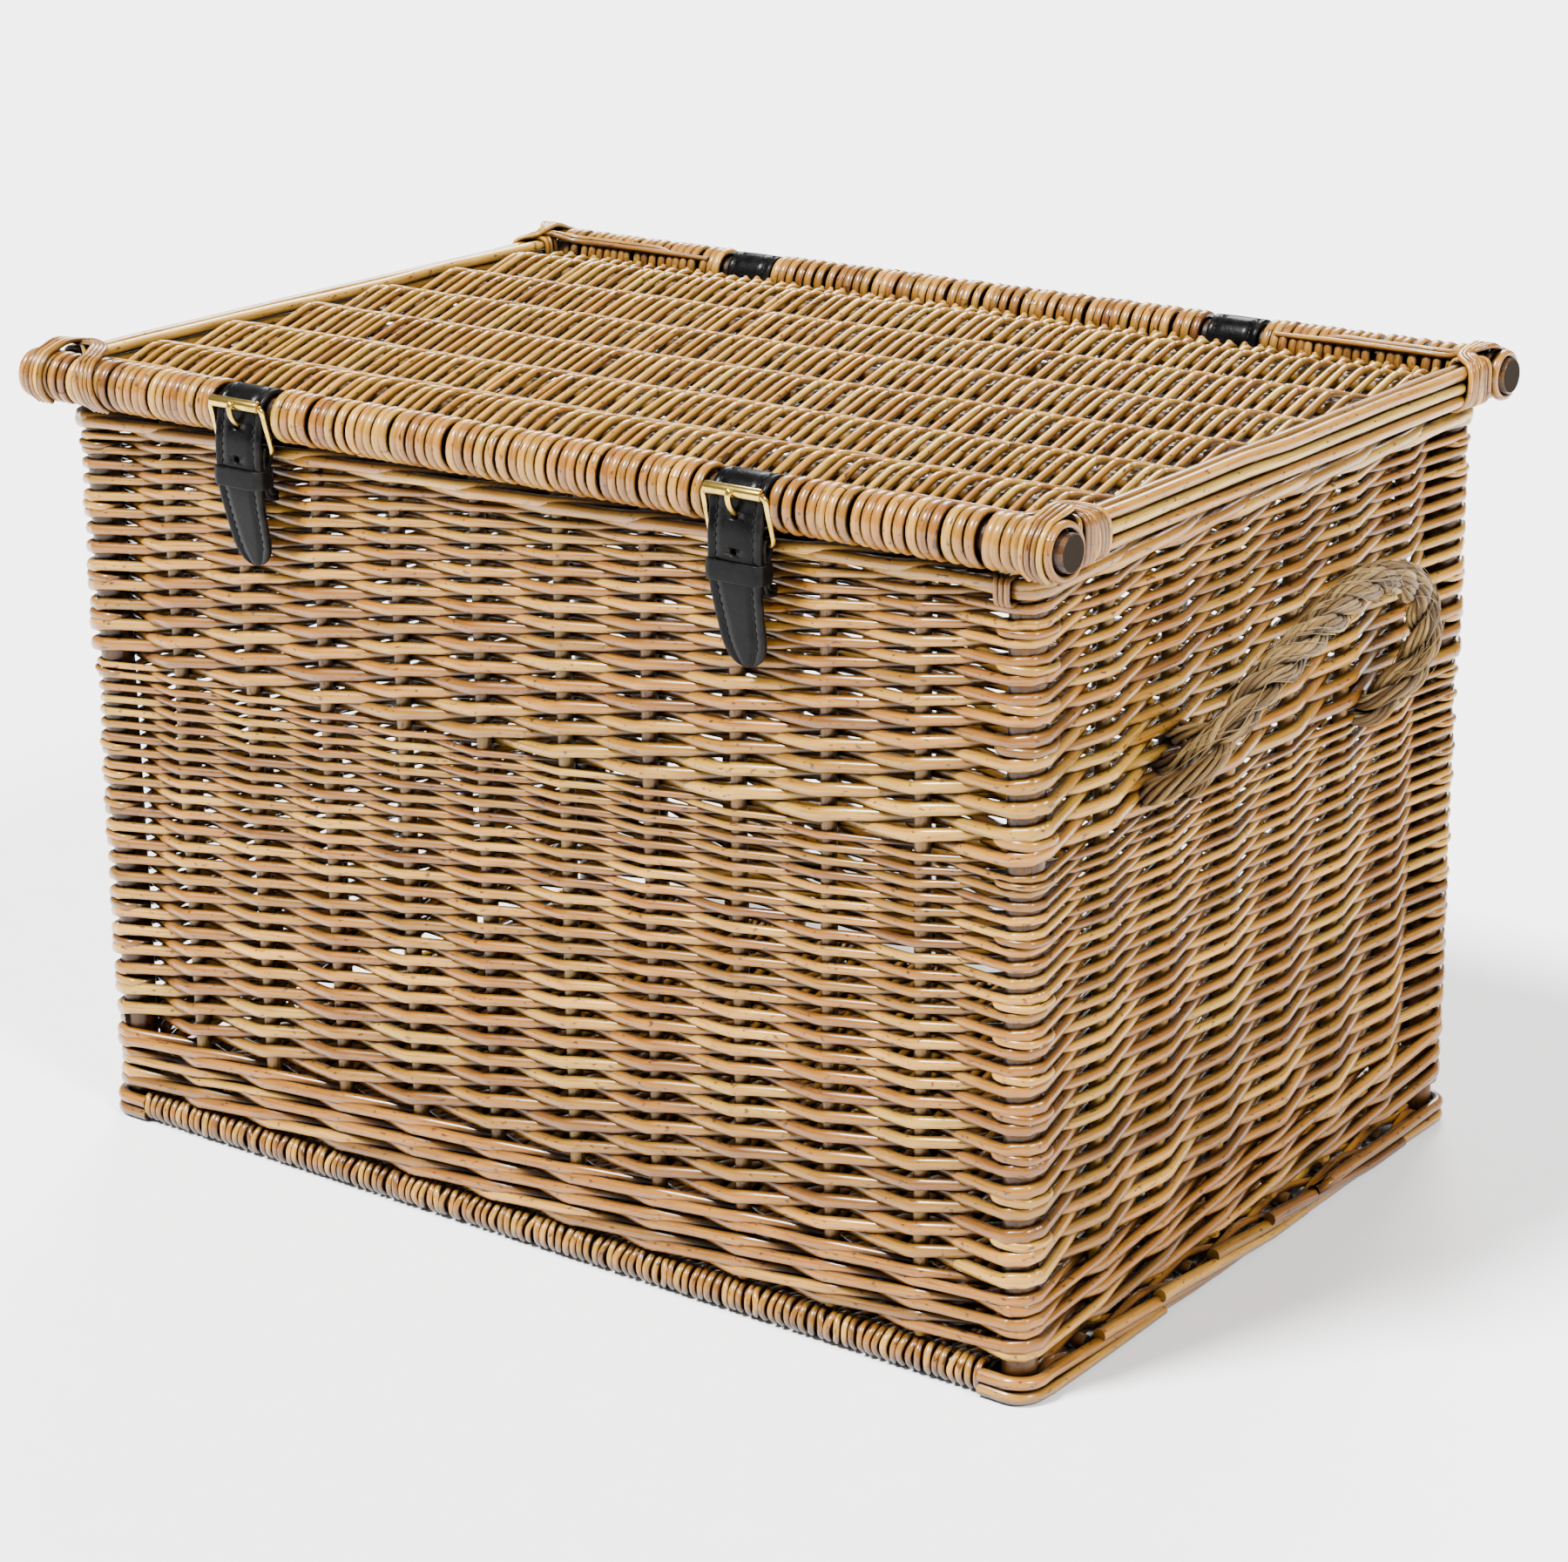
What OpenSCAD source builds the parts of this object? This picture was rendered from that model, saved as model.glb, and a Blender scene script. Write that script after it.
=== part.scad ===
// Wicker storage trunk: woven body and base, hinged woven lid, two buckled straps, two rope handles.
// Millimetres, +Z up. X runs along the front, the front faces -Y, and Z = 0 is the floor.

/* [Body] */
// Outside length of the woven body
body_l = 500; // [490:1:510]
// Outside depth of the woven body
body_d = 350; // [345:1:355]
// Height of the woven body, from the floor to the top of its border
body_h = 330; // [320:1:350]
// Thickness of the woven wall
wall_t = 18; // [17.6:0.2:18.4]
// Diameter of the four corner posts
post_d = 15; // [13:0.5:15]
// Diameter of the upright stakes
stake_d = 7; // [6:0.5:7]
// Number of stakes between the posts at each side
side_stakes = 6; // [5:1:6]
// Thickness of a weaving rod where it turns a post
weaver_d = 5.5; // [5:0.1:5.6]

/* [Heights in the wall] */
// Top of the waled band above the base
wale_top = 44; // [38:1:50]
// Level where the second set of weaving rods starts
set_join = 215; // [205:1:215]
// Height of the border round the top
border_h = 12; // [10:0.5:14]

/* [Base] */
// Thickness of the woven base panel
base_t = 12; // [11:0.5:13]
// Number of sticks woven into the base
base_sticks = 7; // [5:1:8]
// Diameter of the two outer base sticks
base_stick_d = 9; // [8:0.5:9]
// Diameter of the rods that turn the bottom corners
foot_d = 5.8; // [5:0.1:6]

/* [Lid] */
// Diameter of the thick front and back lid sticks
lid_stick_d = 15.5; // [15:0.1:15.5]
// Thickness of the rods wrapped round the thick lid sticks
wrap_t = 3.6; // [3.4:0.1:3.6]
// Length of the thick lid sticks
lid_stick_l = 526; // [522:1:536]
// Thickness of the woven lid panel
lid_t = 14; // [13:0.5:15]
// Number of thin ribs between the thick lid sticks
lid_ribs_n = 6; // [5:1:8]
// Diameter of the thin lid ribs
rib_d = 7; // [5:0.5:7]
// How far the front lid stick lies behind the front face of the body
lid_front_in = 1; // [1:0.1:1.4]
// How far the back lid stick lies inside the back face of the body
lid_back_in = 7; // [7:0.1:7.2]
// Diameter of the long rods along the short edges of the lid
edge_rod_d = 5.4; // [5:0.1:5.4]

/* [Straps and hinges] */
// Width of the straps and of the hinge loops
strap_w = 25; // [24:0.5:25]
// Thickness of one layer of leather
leather_t = 2.5; // [2.3:0.1:2.5]
// Centre of the left strap along the front
strap_left_x = -133; // [-140:1:-120]
// Centre of the right strap along the front
strap_right_x = 122; // [115:1:140]
// Centre of the left hinge loop along the back
hinge_left_x = -130; // [-132:0.5:-127]
// Centre of the right hinge loop along the back
hinge_right_x = 133; // [127:0.5:133]
// Diameter of the brass buckle wire
wire_d = 2.4; // [2.2:0.1:2.4]
// Outside diameter of the brass roller
roller_d = 4.2; // [4:0.1:4.2]

/* [Rope handles] */
// Diameter of the rope
rope_d = 13; // [11:0.5:13]
// Half the distance between the two places where a rope enters the wall
rope_half = 87; // [85:0.5:89]
// Height of those two places above the floor
rope_z = 223; // [223:1:228]
// Distance from the wall fixings to the middle of the rope grip
rope_reach = 58; // [50:1:62]
// Radius of the bends between the legs and the grip
rope_bend = 28; // [20:1:30]
// How far the rope stands up from level
rope_rise = 65; // [40:1:75]

/* [Hidden] */
$fn = 64;

willow = [0.72, 0.51, 0.27];
willow_light = [0.80, 0.62, 0.36];
willow_dark = [0.55, 0.37, 0.18];
leather = [0.06, 0.06, 0.065];
brass = [0.83, 0.66, 0.31];
rope = [0.76, 0.66, 0.47];

// Gap round a stick that lies in the weave
snug = 0.1;
// Radial clearance of a part that turns
turn = 0.08;
// Gap between pieces that only touch
gap = 0.2;

// Stakes between the posts at the front and back; the hinge loops pass between them
long_stakes = 10;
post_r = post_d / 2;
post_x = body_l / 2 - weaver_d - post_r;
post_y = body_d / 2 - weaver_d - post_r;
mid_x = body_l / 2 - wall_t / 2;
mid_y = body_d / 2 - wall_t / 2;
corner_r = weaver_d + post_r;
long_step = 2 * post_x / (long_stakes + 1);
side_step = 2 * post_y / (side_stakes + 1);

// The outer base sticks with their wrapping stand on the floor
base_roll_r = 7;
base_roll_y = body_d / 2 - base_roll_r;
base_roll_half = post_x - 15;
weave_z = 2 * base_roll_r + gap;
foot_r = foot_d / 2;
foot_turn = post_r + foot_r + snug;
foot_tail = 11;

// Lid frame: the axes of its two thick sticks
stick_r = lid_stick_d / 2;
lid_roll_r = stick_r + wrap_t;
lid_z = body_h + lid_roll_r + 0.55;
lid_front_y = -(body_d / 2 - lid_front_in);
lid_back_y = body_d / 2 - lid_back_in;
lid_roll_half = lid_stick_l / 2 - 3;
lid_half = lid_stick_l / 2 - 19.5;
rib_step = (lid_back_y - lid_front_y) / (lid_ribs_n + 1);
edge_r = edge_rod_d / 2;
edge_x = lid_half + 3 + edge_r;
lash_t = 2.1;

// Strap section, measured from the axis of the front lid stick: +Y to the wall, +Z up
loop_in = stick_r + turn;
loop_out = loop_in + leather_t;
wire_r = wire_d / 2;
roller_r = roller_d / 2;
roller_y = -11.8;
roller_z = 4.9;
heel_y = -6.3;
heel_z = -15.6;
buckle_half = strap_w / 2 + 2.1;
strap_room = buckle_half + wire_r + 1.3;
hinge_room = strap_w / 2 + 0.5;
bulge_y = -12.3;
lean_z = -31;
tip_y = -4.6;
tip_z = -65;
tip_l = 22;
tip_r = 4.5;
chape_t = 2;
fold_r = wire_r + snug + chape_t;
chape_front = heel_y - fold_r + 0.1;
chape_back = chape_front + 2 * chape_t;
keeper_t = 1.6;
keeper_h = 8;
keeper_z = -30;
prong_r = 1;
prong_l = 24;
prong_lift = 8;
prong_lean = atan2(heel_y - roller_y, roller_z - heel_z)
           + asin((roller_r + prong_r + 0.1) / norm([heel_y - roller_y, roller_z - heel_z]));

// Hinge tails run down both sides of the back border and join beneath it
hinge_tail_z = body_h - border_h - 8;

rope_r = rope_d / 2;
rope_x = body_l / 2 + rope_r + 1;
knot_r = 11;

// ---- helpers ----

// Draws a section in Y (to the right) and Z (up) and gives it a width along X
module along_x(w) {
  rotate([90, 0, 90])
    linear_extrude(height = w, center = true)
      children();
}

// A round stick along X
module stick_x(r, half) {
  rotate([0, 90, 0])
    cylinder(r = r, h = 2 * half, center = true);
}

// A round rod along Y
module rod_y(r, y0, y1) {
  translate([0, y0, 0])
    rotate([-90, 0, 0])
      cylinder(r = r, h = y1 - y0);
}

// Outline with round corners
module round_rect(l, d, r) {
  square([l - 2 * r, d], center = true);
  square([l, d - 2 * r], center = true);
  for (sx = [-1, 1]) {
    for (sy = [-1, 1]) {
      translate([sx * (l / 2 - r), sy * (d / 2 - r)])
        circle(r = r);
    }
  }
}

module at_posts() {
  for (sx = [-1, 1]) {
    for (sy = [-1, 1]) {
      translate([sx * post_x, sy * post_y])
        children();
    }
  }
}

module at_long_stakes() {
  for (i = [1:long_stakes]) {
    translate([-post_x + i * long_step, 0])
      children();
  }
}

module at_side_stakes() {
  for (i = [1:side_stakes]) {
    translate([0, -post_y + i * side_step])
      children();
  }
}

// One woven band of the wall, with room for the posts and stakes it is woven round
module wall_band(z0, z1) {
  translate([0, 0, z0])
    linear_extrude(height = z1 - z0)
      difference() {
        round_rect(body_l, body_d, corner_r);
        round_rect(body_l - 2 * wall_t, body_d - 2 * wall_t, corner_r);
        at_posts()
          circle(r = post_r + snug);
        for (s = [-1, 1]) {
          translate([0, s * mid_y])
            at_long_stakes()
              circle(r = stake_d / 2 + snug);
          translate([s * mid_x, 0])
            at_side_stakes()
              circle(r = stake_d / 2 + snug);
        }
      }
}

// Section of a hinge loop with its two tails and the part that passes under the border
module hinge_section(extra) {
  difference() {
    union() {
      circle(r = loop_out + extra);
      translate([-loop_out - extra, hinge_tail_z - lid_z - extra])
        square([2 * loop_out + 2 * extra, lid_z - hinge_tail_z + extra]);
    }
    circle(r = loop_in - extra);
    translate([-loop_in + extra, hinge_tail_z - lid_z + leather_t + extra])
      square([2 * loop_in - 2 * extra, lid_z - hinge_tail_z - leather_t - extra]);
  }
}

// Slots in the wall for the two hinge loops, open to the inside
module hinge_slots() {
  for (x = [hinge_left_x, hinge_right_x]) {
    translate([x, lid_back_y, lid_z]) {
      along_x(strap_w + 1)
        hinge_section(0.3);
      translate([-strap_w / 2 - 0.5, -loop_out - 3, hinge_tail_z - lid_z - 0.3])
        cube([strap_w + 1, 4, lid_z - hinge_tail_z + 0.3]);
    }
  }
}

// ---- base ----

module base_weave() {
  color(willow)
    difference() {
      union() {
        translate([0, 0, base_t / 2])
          cube([2 * (body_l / 2 - foot_d - 1), 2 * (post_y - 1), base_t], center = true);
        for (s = [-1, 1]) {
          translate([0, s * base_roll_y, base_roll_r])
            stick_x(base_roll_r, base_roll_half);
        }
        translate([0, 0, base_t / 2])
          cube([2 * base_roll_half, 2 * (base_roll_y - 2), base_t], center = true);
      }
      for (s = [-1, 1]) {
        translate([0, s * base_roll_y, base_roll_r])
          stick_x(base_stick_d / 2 + snug, body_l);
      }
      for (i = [1:base_sticks]) {
        translate([0, -post_y + i * 2 * post_y / (base_sticks + 1), base_t / 2])
          stick_x(stake_d / 2 + snug, body_l);
      }
      translate([0, 0, -1])
        linear_extrude(height = base_t + 2)
          at_posts()
            circle(r = post_r + snug);
    }
}

module base_outer_sticks() {
  color(willow_dark)
    for (s = [-1, 1]) {
      translate([0, s * base_roll_y, base_roll_r])
        stick_x(base_stick_d / 2, base_roll_half + 2);
    }
}

module base_inner_sticks() {
  color(willow_dark)
    for (i = [1:base_sticks]) {
      translate([0, -post_y + i * 2 * post_y / (base_sticks + 1), base_t / 2])
        stick_x(stake_d / 2, body_l / 2 - foot_d - 2);
    }
}

// Two stacked rods run along one side and turn both bottom corners
module foot_rods(side) {
  color(willow)
    mirror([side < 0 ? 1 : 0, 0, 0])
      for (i = [0, 1]) {
        translate([0, 0, foot_r + i * (foot_d + gap)]) {
          translate([post_x + foot_turn, 0, 0])
            rod_y(foot_r, -post_y, post_y);
          for (s = [-1, 1]) {
            translate([post_x, s * post_y, 0]) {
              rotate([0, 0, s < 0 ? -90 : 0])
                rotate_extrude(angle = 90)
                  translate([foot_turn, 0])
                    circle(r = foot_r);
              translate([-foot_tail / 2, s * foot_turn, 0])
                stick_x(foot_r, foot_tail / 2);
            }
          }
        }
      }
}

module foot_rods_left() {
  foot_rods(-1);
}

module foot_rods_right() {
  foot_rods(1);
}

// ---- uprights ----

module corner_posts() {
  color(willow_dark)
    at_posts()
      translate([0, 0, 0.6])
        cylinder(r = post_r, h = body_h - 1.6);
}

module stake() {
  translate([0, 0, weave_z + gap])
    cylinder(r = stake_d / 2, h = body_h - weave_z - 2);
}

module front_stakes() {
  color(willow_dark)
    translate([0, -mid_y, 0])
      at_long_stakes()
        stake();
}

module back_stakes() {
  color(willow_dark)
    translate([0, mid_y, 0])
      at_long_stakes()
        stake();
}

module left_stakes() {
  color(willow_dark)
    translate([-mid_x, 0, 0])
      at_side_stakes()
        stake();
}

module right_stakes() {
  color(willow_dark)
    translate([mid_x, 0, 0])
      at_side_stakes()
        stake();
}

// ---- woven walls ----

module upsett_wale() {
  color(willow)
    wall_band(weave_z, wale_top);
}

module lower_randing() {
  color(willow)
    wall_band(wale_top + gap, set_join);
}

module upper_randing() {
  color(willow)
    difference() {
      wall_band(set_join + gap, body_h - border_h);
      hinge_slots();
      for (s = [-1, 1]) {
        translate([0, s * rope_half, rope_z])
          stick_x(rope_r + 0.4, body_l);
      }
    }
}

module top_border() {
  color(willow_light)
    difference() {
      wall_band(body_h - border_h + gap, body_h);
      hinge_slots();
    }
}

// ---- hinge loops ----

module hinge_loop(x) {
  color(leather)
    translate([x, lid_back_y, lid_z])
      along_x(strap_w)
        hinge_section(0);
}

module hinge_loop_left() {
  hinge_loop(hinge_left_x);
}

module hinge_loop_right() {
  hinge_loop(hinge_right_x);
}

// ---- rope handles ----

// Where the rope passes through the wall, with a knot on the inside of each end
module rope_ends(side) {
  color(rope)
    mirror([side < 0 ? 1 : 0, 0, 0])
      for (s = [-1, 1]) {
        translate([body_l / 2 - wall_t - knot_r - 0.5, s * rope_half, rope_z])
          rotate([0, 90, 0]) {
            sphere(r = knot_r);
            cylinder(r = rope_r, h = wall_t + knot_r + 1.1);
          }
      }
}

module rope_ends_left() {
  rope_ends(-1);
}

module rope_ends_right() {
  rope_ends(1);
}

// The part of the rope outside the wall: two legs, two bends and the grip
module rope_handle(side) {
  color(rope)
    mirror([side < 0 ? 1 : 0, 0, 0])
      translate([rope_x, 0, rope_z])
        rotate([0, -rope_rise, 0]) {
          translate([rope_reach, 0, 0])
            rod_y(rope_r, rope_bend - rope_half, rope_half - rope_bend);
          for (s = [-1, 1]) {
            translate([0, s * rope_half, 0]) {
              sphere(r = rope_r);
              rotate([0, 90, 0])
                cylinder(r = rope_r, h = rope_reach - rope_bend);
            }
            translate([rope_reach - rope_bend, s * (rope_half - rope_bend), 0])
              rotate([0, 0, s < 0 ? -90 : 0])
                rotate_extrude(angle = 90)
                  translate([rope_bend, 0])
                    circle(r = rope_r);
          }
        }
}

module rope_handle_left() {
  rope_handle(-1);
}

module rope_handle_right() {
  rope_handle(1);
}

// ---- lid ----

module lid_front_stick() {
  color(willow_dark)
    translate([0, lid_front_y, lid_z])
      stick_x(stick_r, lid_stick_l / 2);
}

module lid_back_stick() {
  color(willow_dark)
    translate([0, lid_back_y, lid_z])
      stick_x(stick_r, lid_stick_l / 2);
}

module at_ribs() {
  for (i = [1:lid_ribs_n]) {
    translate([0, lid_front_y + i * rib_step, lid_z])
      children();
  }
}

module lid_ribs() {
  color(willow_dark)
    at_ribs()
      stick_x(rib_d / 2, lid_half - 1);
}

// Room round a thick lid stick for a leather loop and what hangs from it
module loop_room(x, y, half) {
  side = 2 * (lid_roll_r + 1);
  translate([x, y, lid_z])
    cube([2 * half, side, side], center = true);
}

// Woven panel; the same rods wrap the thick sticks, except where leather loops them
module lid_weave() {
  color(willow_light)
    difference() {
      union() {
        translate([-lid_half, lid_front_y, lid_z - lid_t / 2])
          cube([2 * lid_half, lid_back_y - lid_front_y, lid_t]);
        for (y = [lid_front_y, lid_back_y]) {
          translate([0, y, lid_z])
            stick_x(lid_roll_r, lid_roll_half);
        }
      }
      for (y = [lid_front_y, lid_back_y]) {
        translate([0, y, lid_z])
          stick_x(stick_r + snug, lid_stick_l);
      }
      at_ribs()
        stick_x(rib_d / 2 + snug, lid_stick_l);
      loop_room(strap_left_x, lid_front_y, strap_room);
      loop_room(strap_right_x, lid_front_y, strap_room);
      loop_room(hinge_left_x, lid_back_y, hinge_room);
      loop_room(hinge_right_x, lid_back_y, hinge_room);
    }
}

// Long rods side by side along a short edge of the lid, two wide and three high
module lid_edge_rods(side) {
  color(willow_light)
    for (col = [0, 1]) {
      for (row = [-1, 0, 1]) {
        translate([side * (edge_x + col * (edge_rod_d + gap)), 0, lid_z + row * (edge_rod_d + gap)])
          rod_y(edge_r, lid_front_y + lid_roll_r + gap, lid_back_y - lid_roll_r - gap);
      }
    }
}

module lid_edge_rods_left() {
  lid_edge_rods(-1);
}

module lid_edge_rods_right() {
  lid_edge_rods(1);
}

// A lashing round the edge rods beside each end of a thick stick
module lid_lashings() {
  in_w = 2 * edge_rod_d + 2 * gap;
  in_h = 3 * edge_rod_d + 3 * gap;
  color(willow)
    for (sx = [-1, 1]) {
      for (y = [lid_front_y + lid_roll_r + 6, lid_back_y - lid_roll_r - 6]) {
        translate([sx * (edge_x + (edge_rod_d + gap) / 2), y, lid_z])
          rotate([90, 0, 0])
            linear_extrude(height = 10, center = true)
              difference() {
                round_rect(in_w + 2 * lash_t, in_h + 2 * lash_t, lash_t);
                square([in_w, in_h], center = true);
              }
      }
    }
}

// ---- straps ----

// Places a piece by the axis of the front lid stick, at one strap
module at_strap(x) {
  translate([x, lid_front_y, lid_z])
    children();
}

// The strap from the side: a loop round the lid stick, then the free end bulging over the heel bar
module strap_section() {
  loop = [for (a = [183:-8:-145]) [loop_out * cos(a), loop_out * sin(a)]];
  difference() {
    polygon(concat(
      loop,
      [
        [bulge_y + leather_t, -12],
        [bulge_y + leather_t, lean_z],
        [tip_y + leather_t, tip_z],
        [tip_y, tip_z],
        [bulge_y, lean_z],
        [bulge_y, -12]
      ]
    ));
    circle(r = loop_in);
  }
}

// What is cut from one lower corner of the strap to leave a tapered, rounded tip, from the front
module tip_corner(side) {
  tip = [for (a = [340:-14:270]) [side * tip_r * cos(a), tip_z + tip_r + tip_r * sin(a)]];
  polygon(concat(
    [[side * (strap_w / 2 + 1), tip_z + tip_l], [side * strap_w / 2, tip_z + tip_l]],
    tip,
    [[0, tip_z - 1], [side * (strap_w / 2 + 1), tip_z - 1]]
  ));
}

// The oblong hole the prong sits in, from the side
module prong_slot() {
  up = [-sin(prong_lean), cos(prong_lean)];
  lifted = [-sin(prong_lean + prong_lift), cos(prong_lean + prong_lift)];
  heel = [heel_y, heel_z];
  hole_r = prong_r + 0.35;
  polygon([
    heel + 4 * up + hole_r * [up[1], -up[0]],
    heel + 18 * up + hole_r * [up[1], -up[0]],
    heel + 18 * lifted - hole_r * [lifted[1], -lifted[0]],
    heel + 4 * lifted - hole_r * [lifted[1], -lifted[0]]
  ]);
}

// Loop round the lid stick with the pointed free end hanging in front
module strap(x) {
  color(leather)
    at_strap(x)
      difference() {
        along_x(strap_w)
          strap_section();
        for (s = [-1, 1]) {
          rotate([90, 0, 0])
            linear_extrude(height = 30, center = true)
              tip_corner(s);
        }
        along_x(2 * prong_r + 0.7)
          prong_slot();
        translate([0, bulge_y - 1, heel_z - 1])
          rod_y(1.5, 0, leather_t + 2);
      }
}

// Brass frame: a bar for the roller, a heel bar and two side bars
module buckle(x) {
  side_l = norm([heel_y - roller_y, heel_z - roller_z]);
  color(brass)
    at_strap(x) {
      for (s = [-1, 1]) {
        translate([s * buckle_half, heel_y, heel_z])
          rotate([atan2(heel_y - roller_y, roller_z - heel_z), 0, 0]) {
            cylinder(r = wire_r, h = side_l);
            sphere(r = wire_r + 0.1);
            translate([0, 0, side_l])
              sphere(r = wire_r + 0.1);
          }
      }
      translate([0, roller_y, roller_z])
        stick_x(wire_r, buckle_half);
      translate([0, heel_y, heel_z])
        stick_x(wire_r, buckle_half);
    }
}

module roller(x) {
  color(brass)
    at_strap(x)
      translate([0, roller_y, roller_z])
        difference() {
          stick_x(roller_r, buckle_half - wire_r - 0.3);
          stick_x(wire_r + turn, buckle_half);
        }
}

module prong(x) {
  color(brass)
    at_strap(x)
      difference() {
        union() {
          translate([0, heel_y, heel_z])
            stick_x(wire_r + 1.1, 1.7);
          translate([0, heel_y, heel_z])
            rotate([prong_lean, 0, 0]) {
              cylinder(r = prong_r, h = prong_l);
              translate([0, 0, prong_l])
                sphere(r = prong_r);
            }
        }
        translate([0, heel_y, heel_z])
          stick_x(wire_r + turn, 4);
      }
}

// The chape from the side: folded over the heel bar, then turned in to the wall
module chape_section() {
  turn_y = chape_back + chape_t;
  turn_z = lean_z + 1;
  fold = [for (a = [180:-15:0]) [heel_y + fold_r * cos(a), heel_z + fold_r * sin(a)]];
  inner = [for (a = [180:15:270]) [turn_y + chape_t * cos(a), turn_z + chape_t * sin(a)]];
  outer = [for (a = [270:-15:180]) [turn_y + 3 * chape_t * cos(a), turn_z + 3 * chape_t * sin(a)]];
  difference() {
    polygon(concat(
      fold,
      [[chape_back, heel_z - 6]],
      inner,
      [[-1.5, turn_z - chape_t], [-1.5, turn_z - 3 * chape_t]],
      outer,
      [[chape_front, heel_z - 6]]
    ));
    translate([heel_y, heel_z])
      circle(r = wire_r + snug);
  }
}

// Two layers of leather stitched together, slotted for the prong
module chape(x) {
  color(leather)
    at_strap(x)
      difference() {
        along_x(strap_w)
          chape_section();
        translate([0, heel_y, heel_z])
          cube([4.4, 12, 7.4], center = true);
      }
}

// Band round the strap and the chape
module keeper(x) {
  color(leather)
    at_strap(x)
      translate([0, 0, keeper_z])
        linear_extrude(height = keeper_h)
          difference() {
            translate([-strap_w / 2 - 0.4 - keeper_t, bulge_y - 0.2 - keeper_t])
              square([strap_w + 0.8 + 2 * keeper_t, chape_back - bulge_y + 0.4 + 2 * keeper_t]);
            translate([-strap_w / 2 - 0.4, bulge_y - 0.2])
              square([strap_w + 0.8, chape_back - bulge_y + 0.4]);
          }
}

module strap_left() {
  strap(strap_left_x);
}

module buckle_left() {
  buckle(strap_left_x);
}

module roller_left() {
  roller(strap_left_x);
}

module prong_left() {
  prong(strap_left_x);
}

module chape_left() {
  chape(strap_left_x);
}

module keeper_left() {
  keeper(strap_left_x);
}

module strap_right() {
  strap(strap_right_x);
}

module buckle_right() {
  buckle(strap_right_x);
}

module roller_right() {
  roller(strap_right_x);
}

module prong_right() {
  prong(strap_right_x);
}

module chape_right() {
  chape(strap_right_x);
}

module keeper_right() {
  keeper(strap_right_x);
}

base_weave();
base_outer_sticks();
base_inner_sticks();
foot_rods_left();
foot_rods_right();
corner_posts();
front_stakes();
back_stakes();
left_stakes();
right_stakes();
upsett_wale();
lower_randing();
upper_randing();
top_border();
hinge_loop_left();
hinge_loop_right();
rope_ends_left();
rope_ends_right();
rope_handle_left();
rope_handle_right();
lid_front_stick();
lid_back_stick();
lid_ribs();
lid_weave();
lid_edge_rods_left();
lid_edge_rods_right();
lid_lashings();
strap_left();
buckle_left();
roller_left();
prong_left();
chape_left();
keeper_left();
strap_right();
buckle_right();
roller_right();
prong_right();
chape_right();
keeper_right();
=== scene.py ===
"""Looks of the wicker storage trunk. Metres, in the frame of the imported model."""

import math

import bmesh
import bpy
import numpy as np
from mathutils import Matrix, Vector


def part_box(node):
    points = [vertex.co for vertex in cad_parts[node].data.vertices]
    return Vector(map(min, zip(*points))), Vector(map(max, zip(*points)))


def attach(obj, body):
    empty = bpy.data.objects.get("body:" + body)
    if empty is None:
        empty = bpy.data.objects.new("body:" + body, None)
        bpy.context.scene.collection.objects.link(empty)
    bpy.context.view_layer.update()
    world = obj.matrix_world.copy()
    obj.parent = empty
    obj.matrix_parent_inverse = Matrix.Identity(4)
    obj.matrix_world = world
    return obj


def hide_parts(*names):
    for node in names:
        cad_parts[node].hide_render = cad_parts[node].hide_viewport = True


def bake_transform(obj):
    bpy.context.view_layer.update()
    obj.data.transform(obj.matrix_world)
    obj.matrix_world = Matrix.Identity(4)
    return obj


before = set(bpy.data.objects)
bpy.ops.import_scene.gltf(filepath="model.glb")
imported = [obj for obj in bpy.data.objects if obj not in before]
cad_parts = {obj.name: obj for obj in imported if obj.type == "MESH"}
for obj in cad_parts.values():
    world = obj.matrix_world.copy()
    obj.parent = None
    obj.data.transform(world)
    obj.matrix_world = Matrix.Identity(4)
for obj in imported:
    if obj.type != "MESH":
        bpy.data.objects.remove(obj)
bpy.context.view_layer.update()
MM = 0.001
rng = np.random.default_rng(11)


# ---------------------------------------------------------------- camera, floor and lights
def make_camera():
    """The camera of the photograph, as calibrated."""
    eye = Vector((0.9559, -1.2807, 0.6971))
    forward = Vector((-0.5746, 0.7514, -0.3244)).normalized()
    roll = -0.0136
    right = forward.cross(Vector((0, 0, 1))).normalized()
    up = right.cross(forward)
    side = right * math.cos(roll) + up * math.sin(roll)
    top = up * math.cos(roll) - right * math.sin(roll)
    data = bpy.data.cameras.new("camera")
    data.sensor_width = 36
    data.lens = 87.9
    data.shift_x = 0.0343
    data.shift_y = 0.0137
    data.clip_end = 100
    camera = bpy.data.objects.new("camera", data)
    camera.matrix_world = Matrix((side, top, -forward)).transposed().to_4x4()
    camera.location = eye
    bpy.context.scene.collection.objects.link(camera)
    bpy.context.scene.camera = camera


make_camera()


def soft_sun(name, source, strength, spread):
    """Even light from the direction of source; spread is the apparent width of the lamp in degrees."""
    data = bpy.data.lights.new(name, "SUN")
    data.energy = strength
    data.angle = math.radians(spread)
    lamp = bpy.data.objects.new(name, data)
    lamp.location = source
    lamp.rotation_euler = Vector(source).to_track_quat("Z", "Y").to_euler()
    bpy.context.scene.collection.objects.link(lamp)


soft_sun("key", (-0.5, -0.95, 1.65), 12.2, 14)
soft_sun("side", (1.3, -0.3, 1.15), 4.8, 16)
soft_sun("back", (-0.6, 1.2, 1.0), 4.2, 26)

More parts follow.
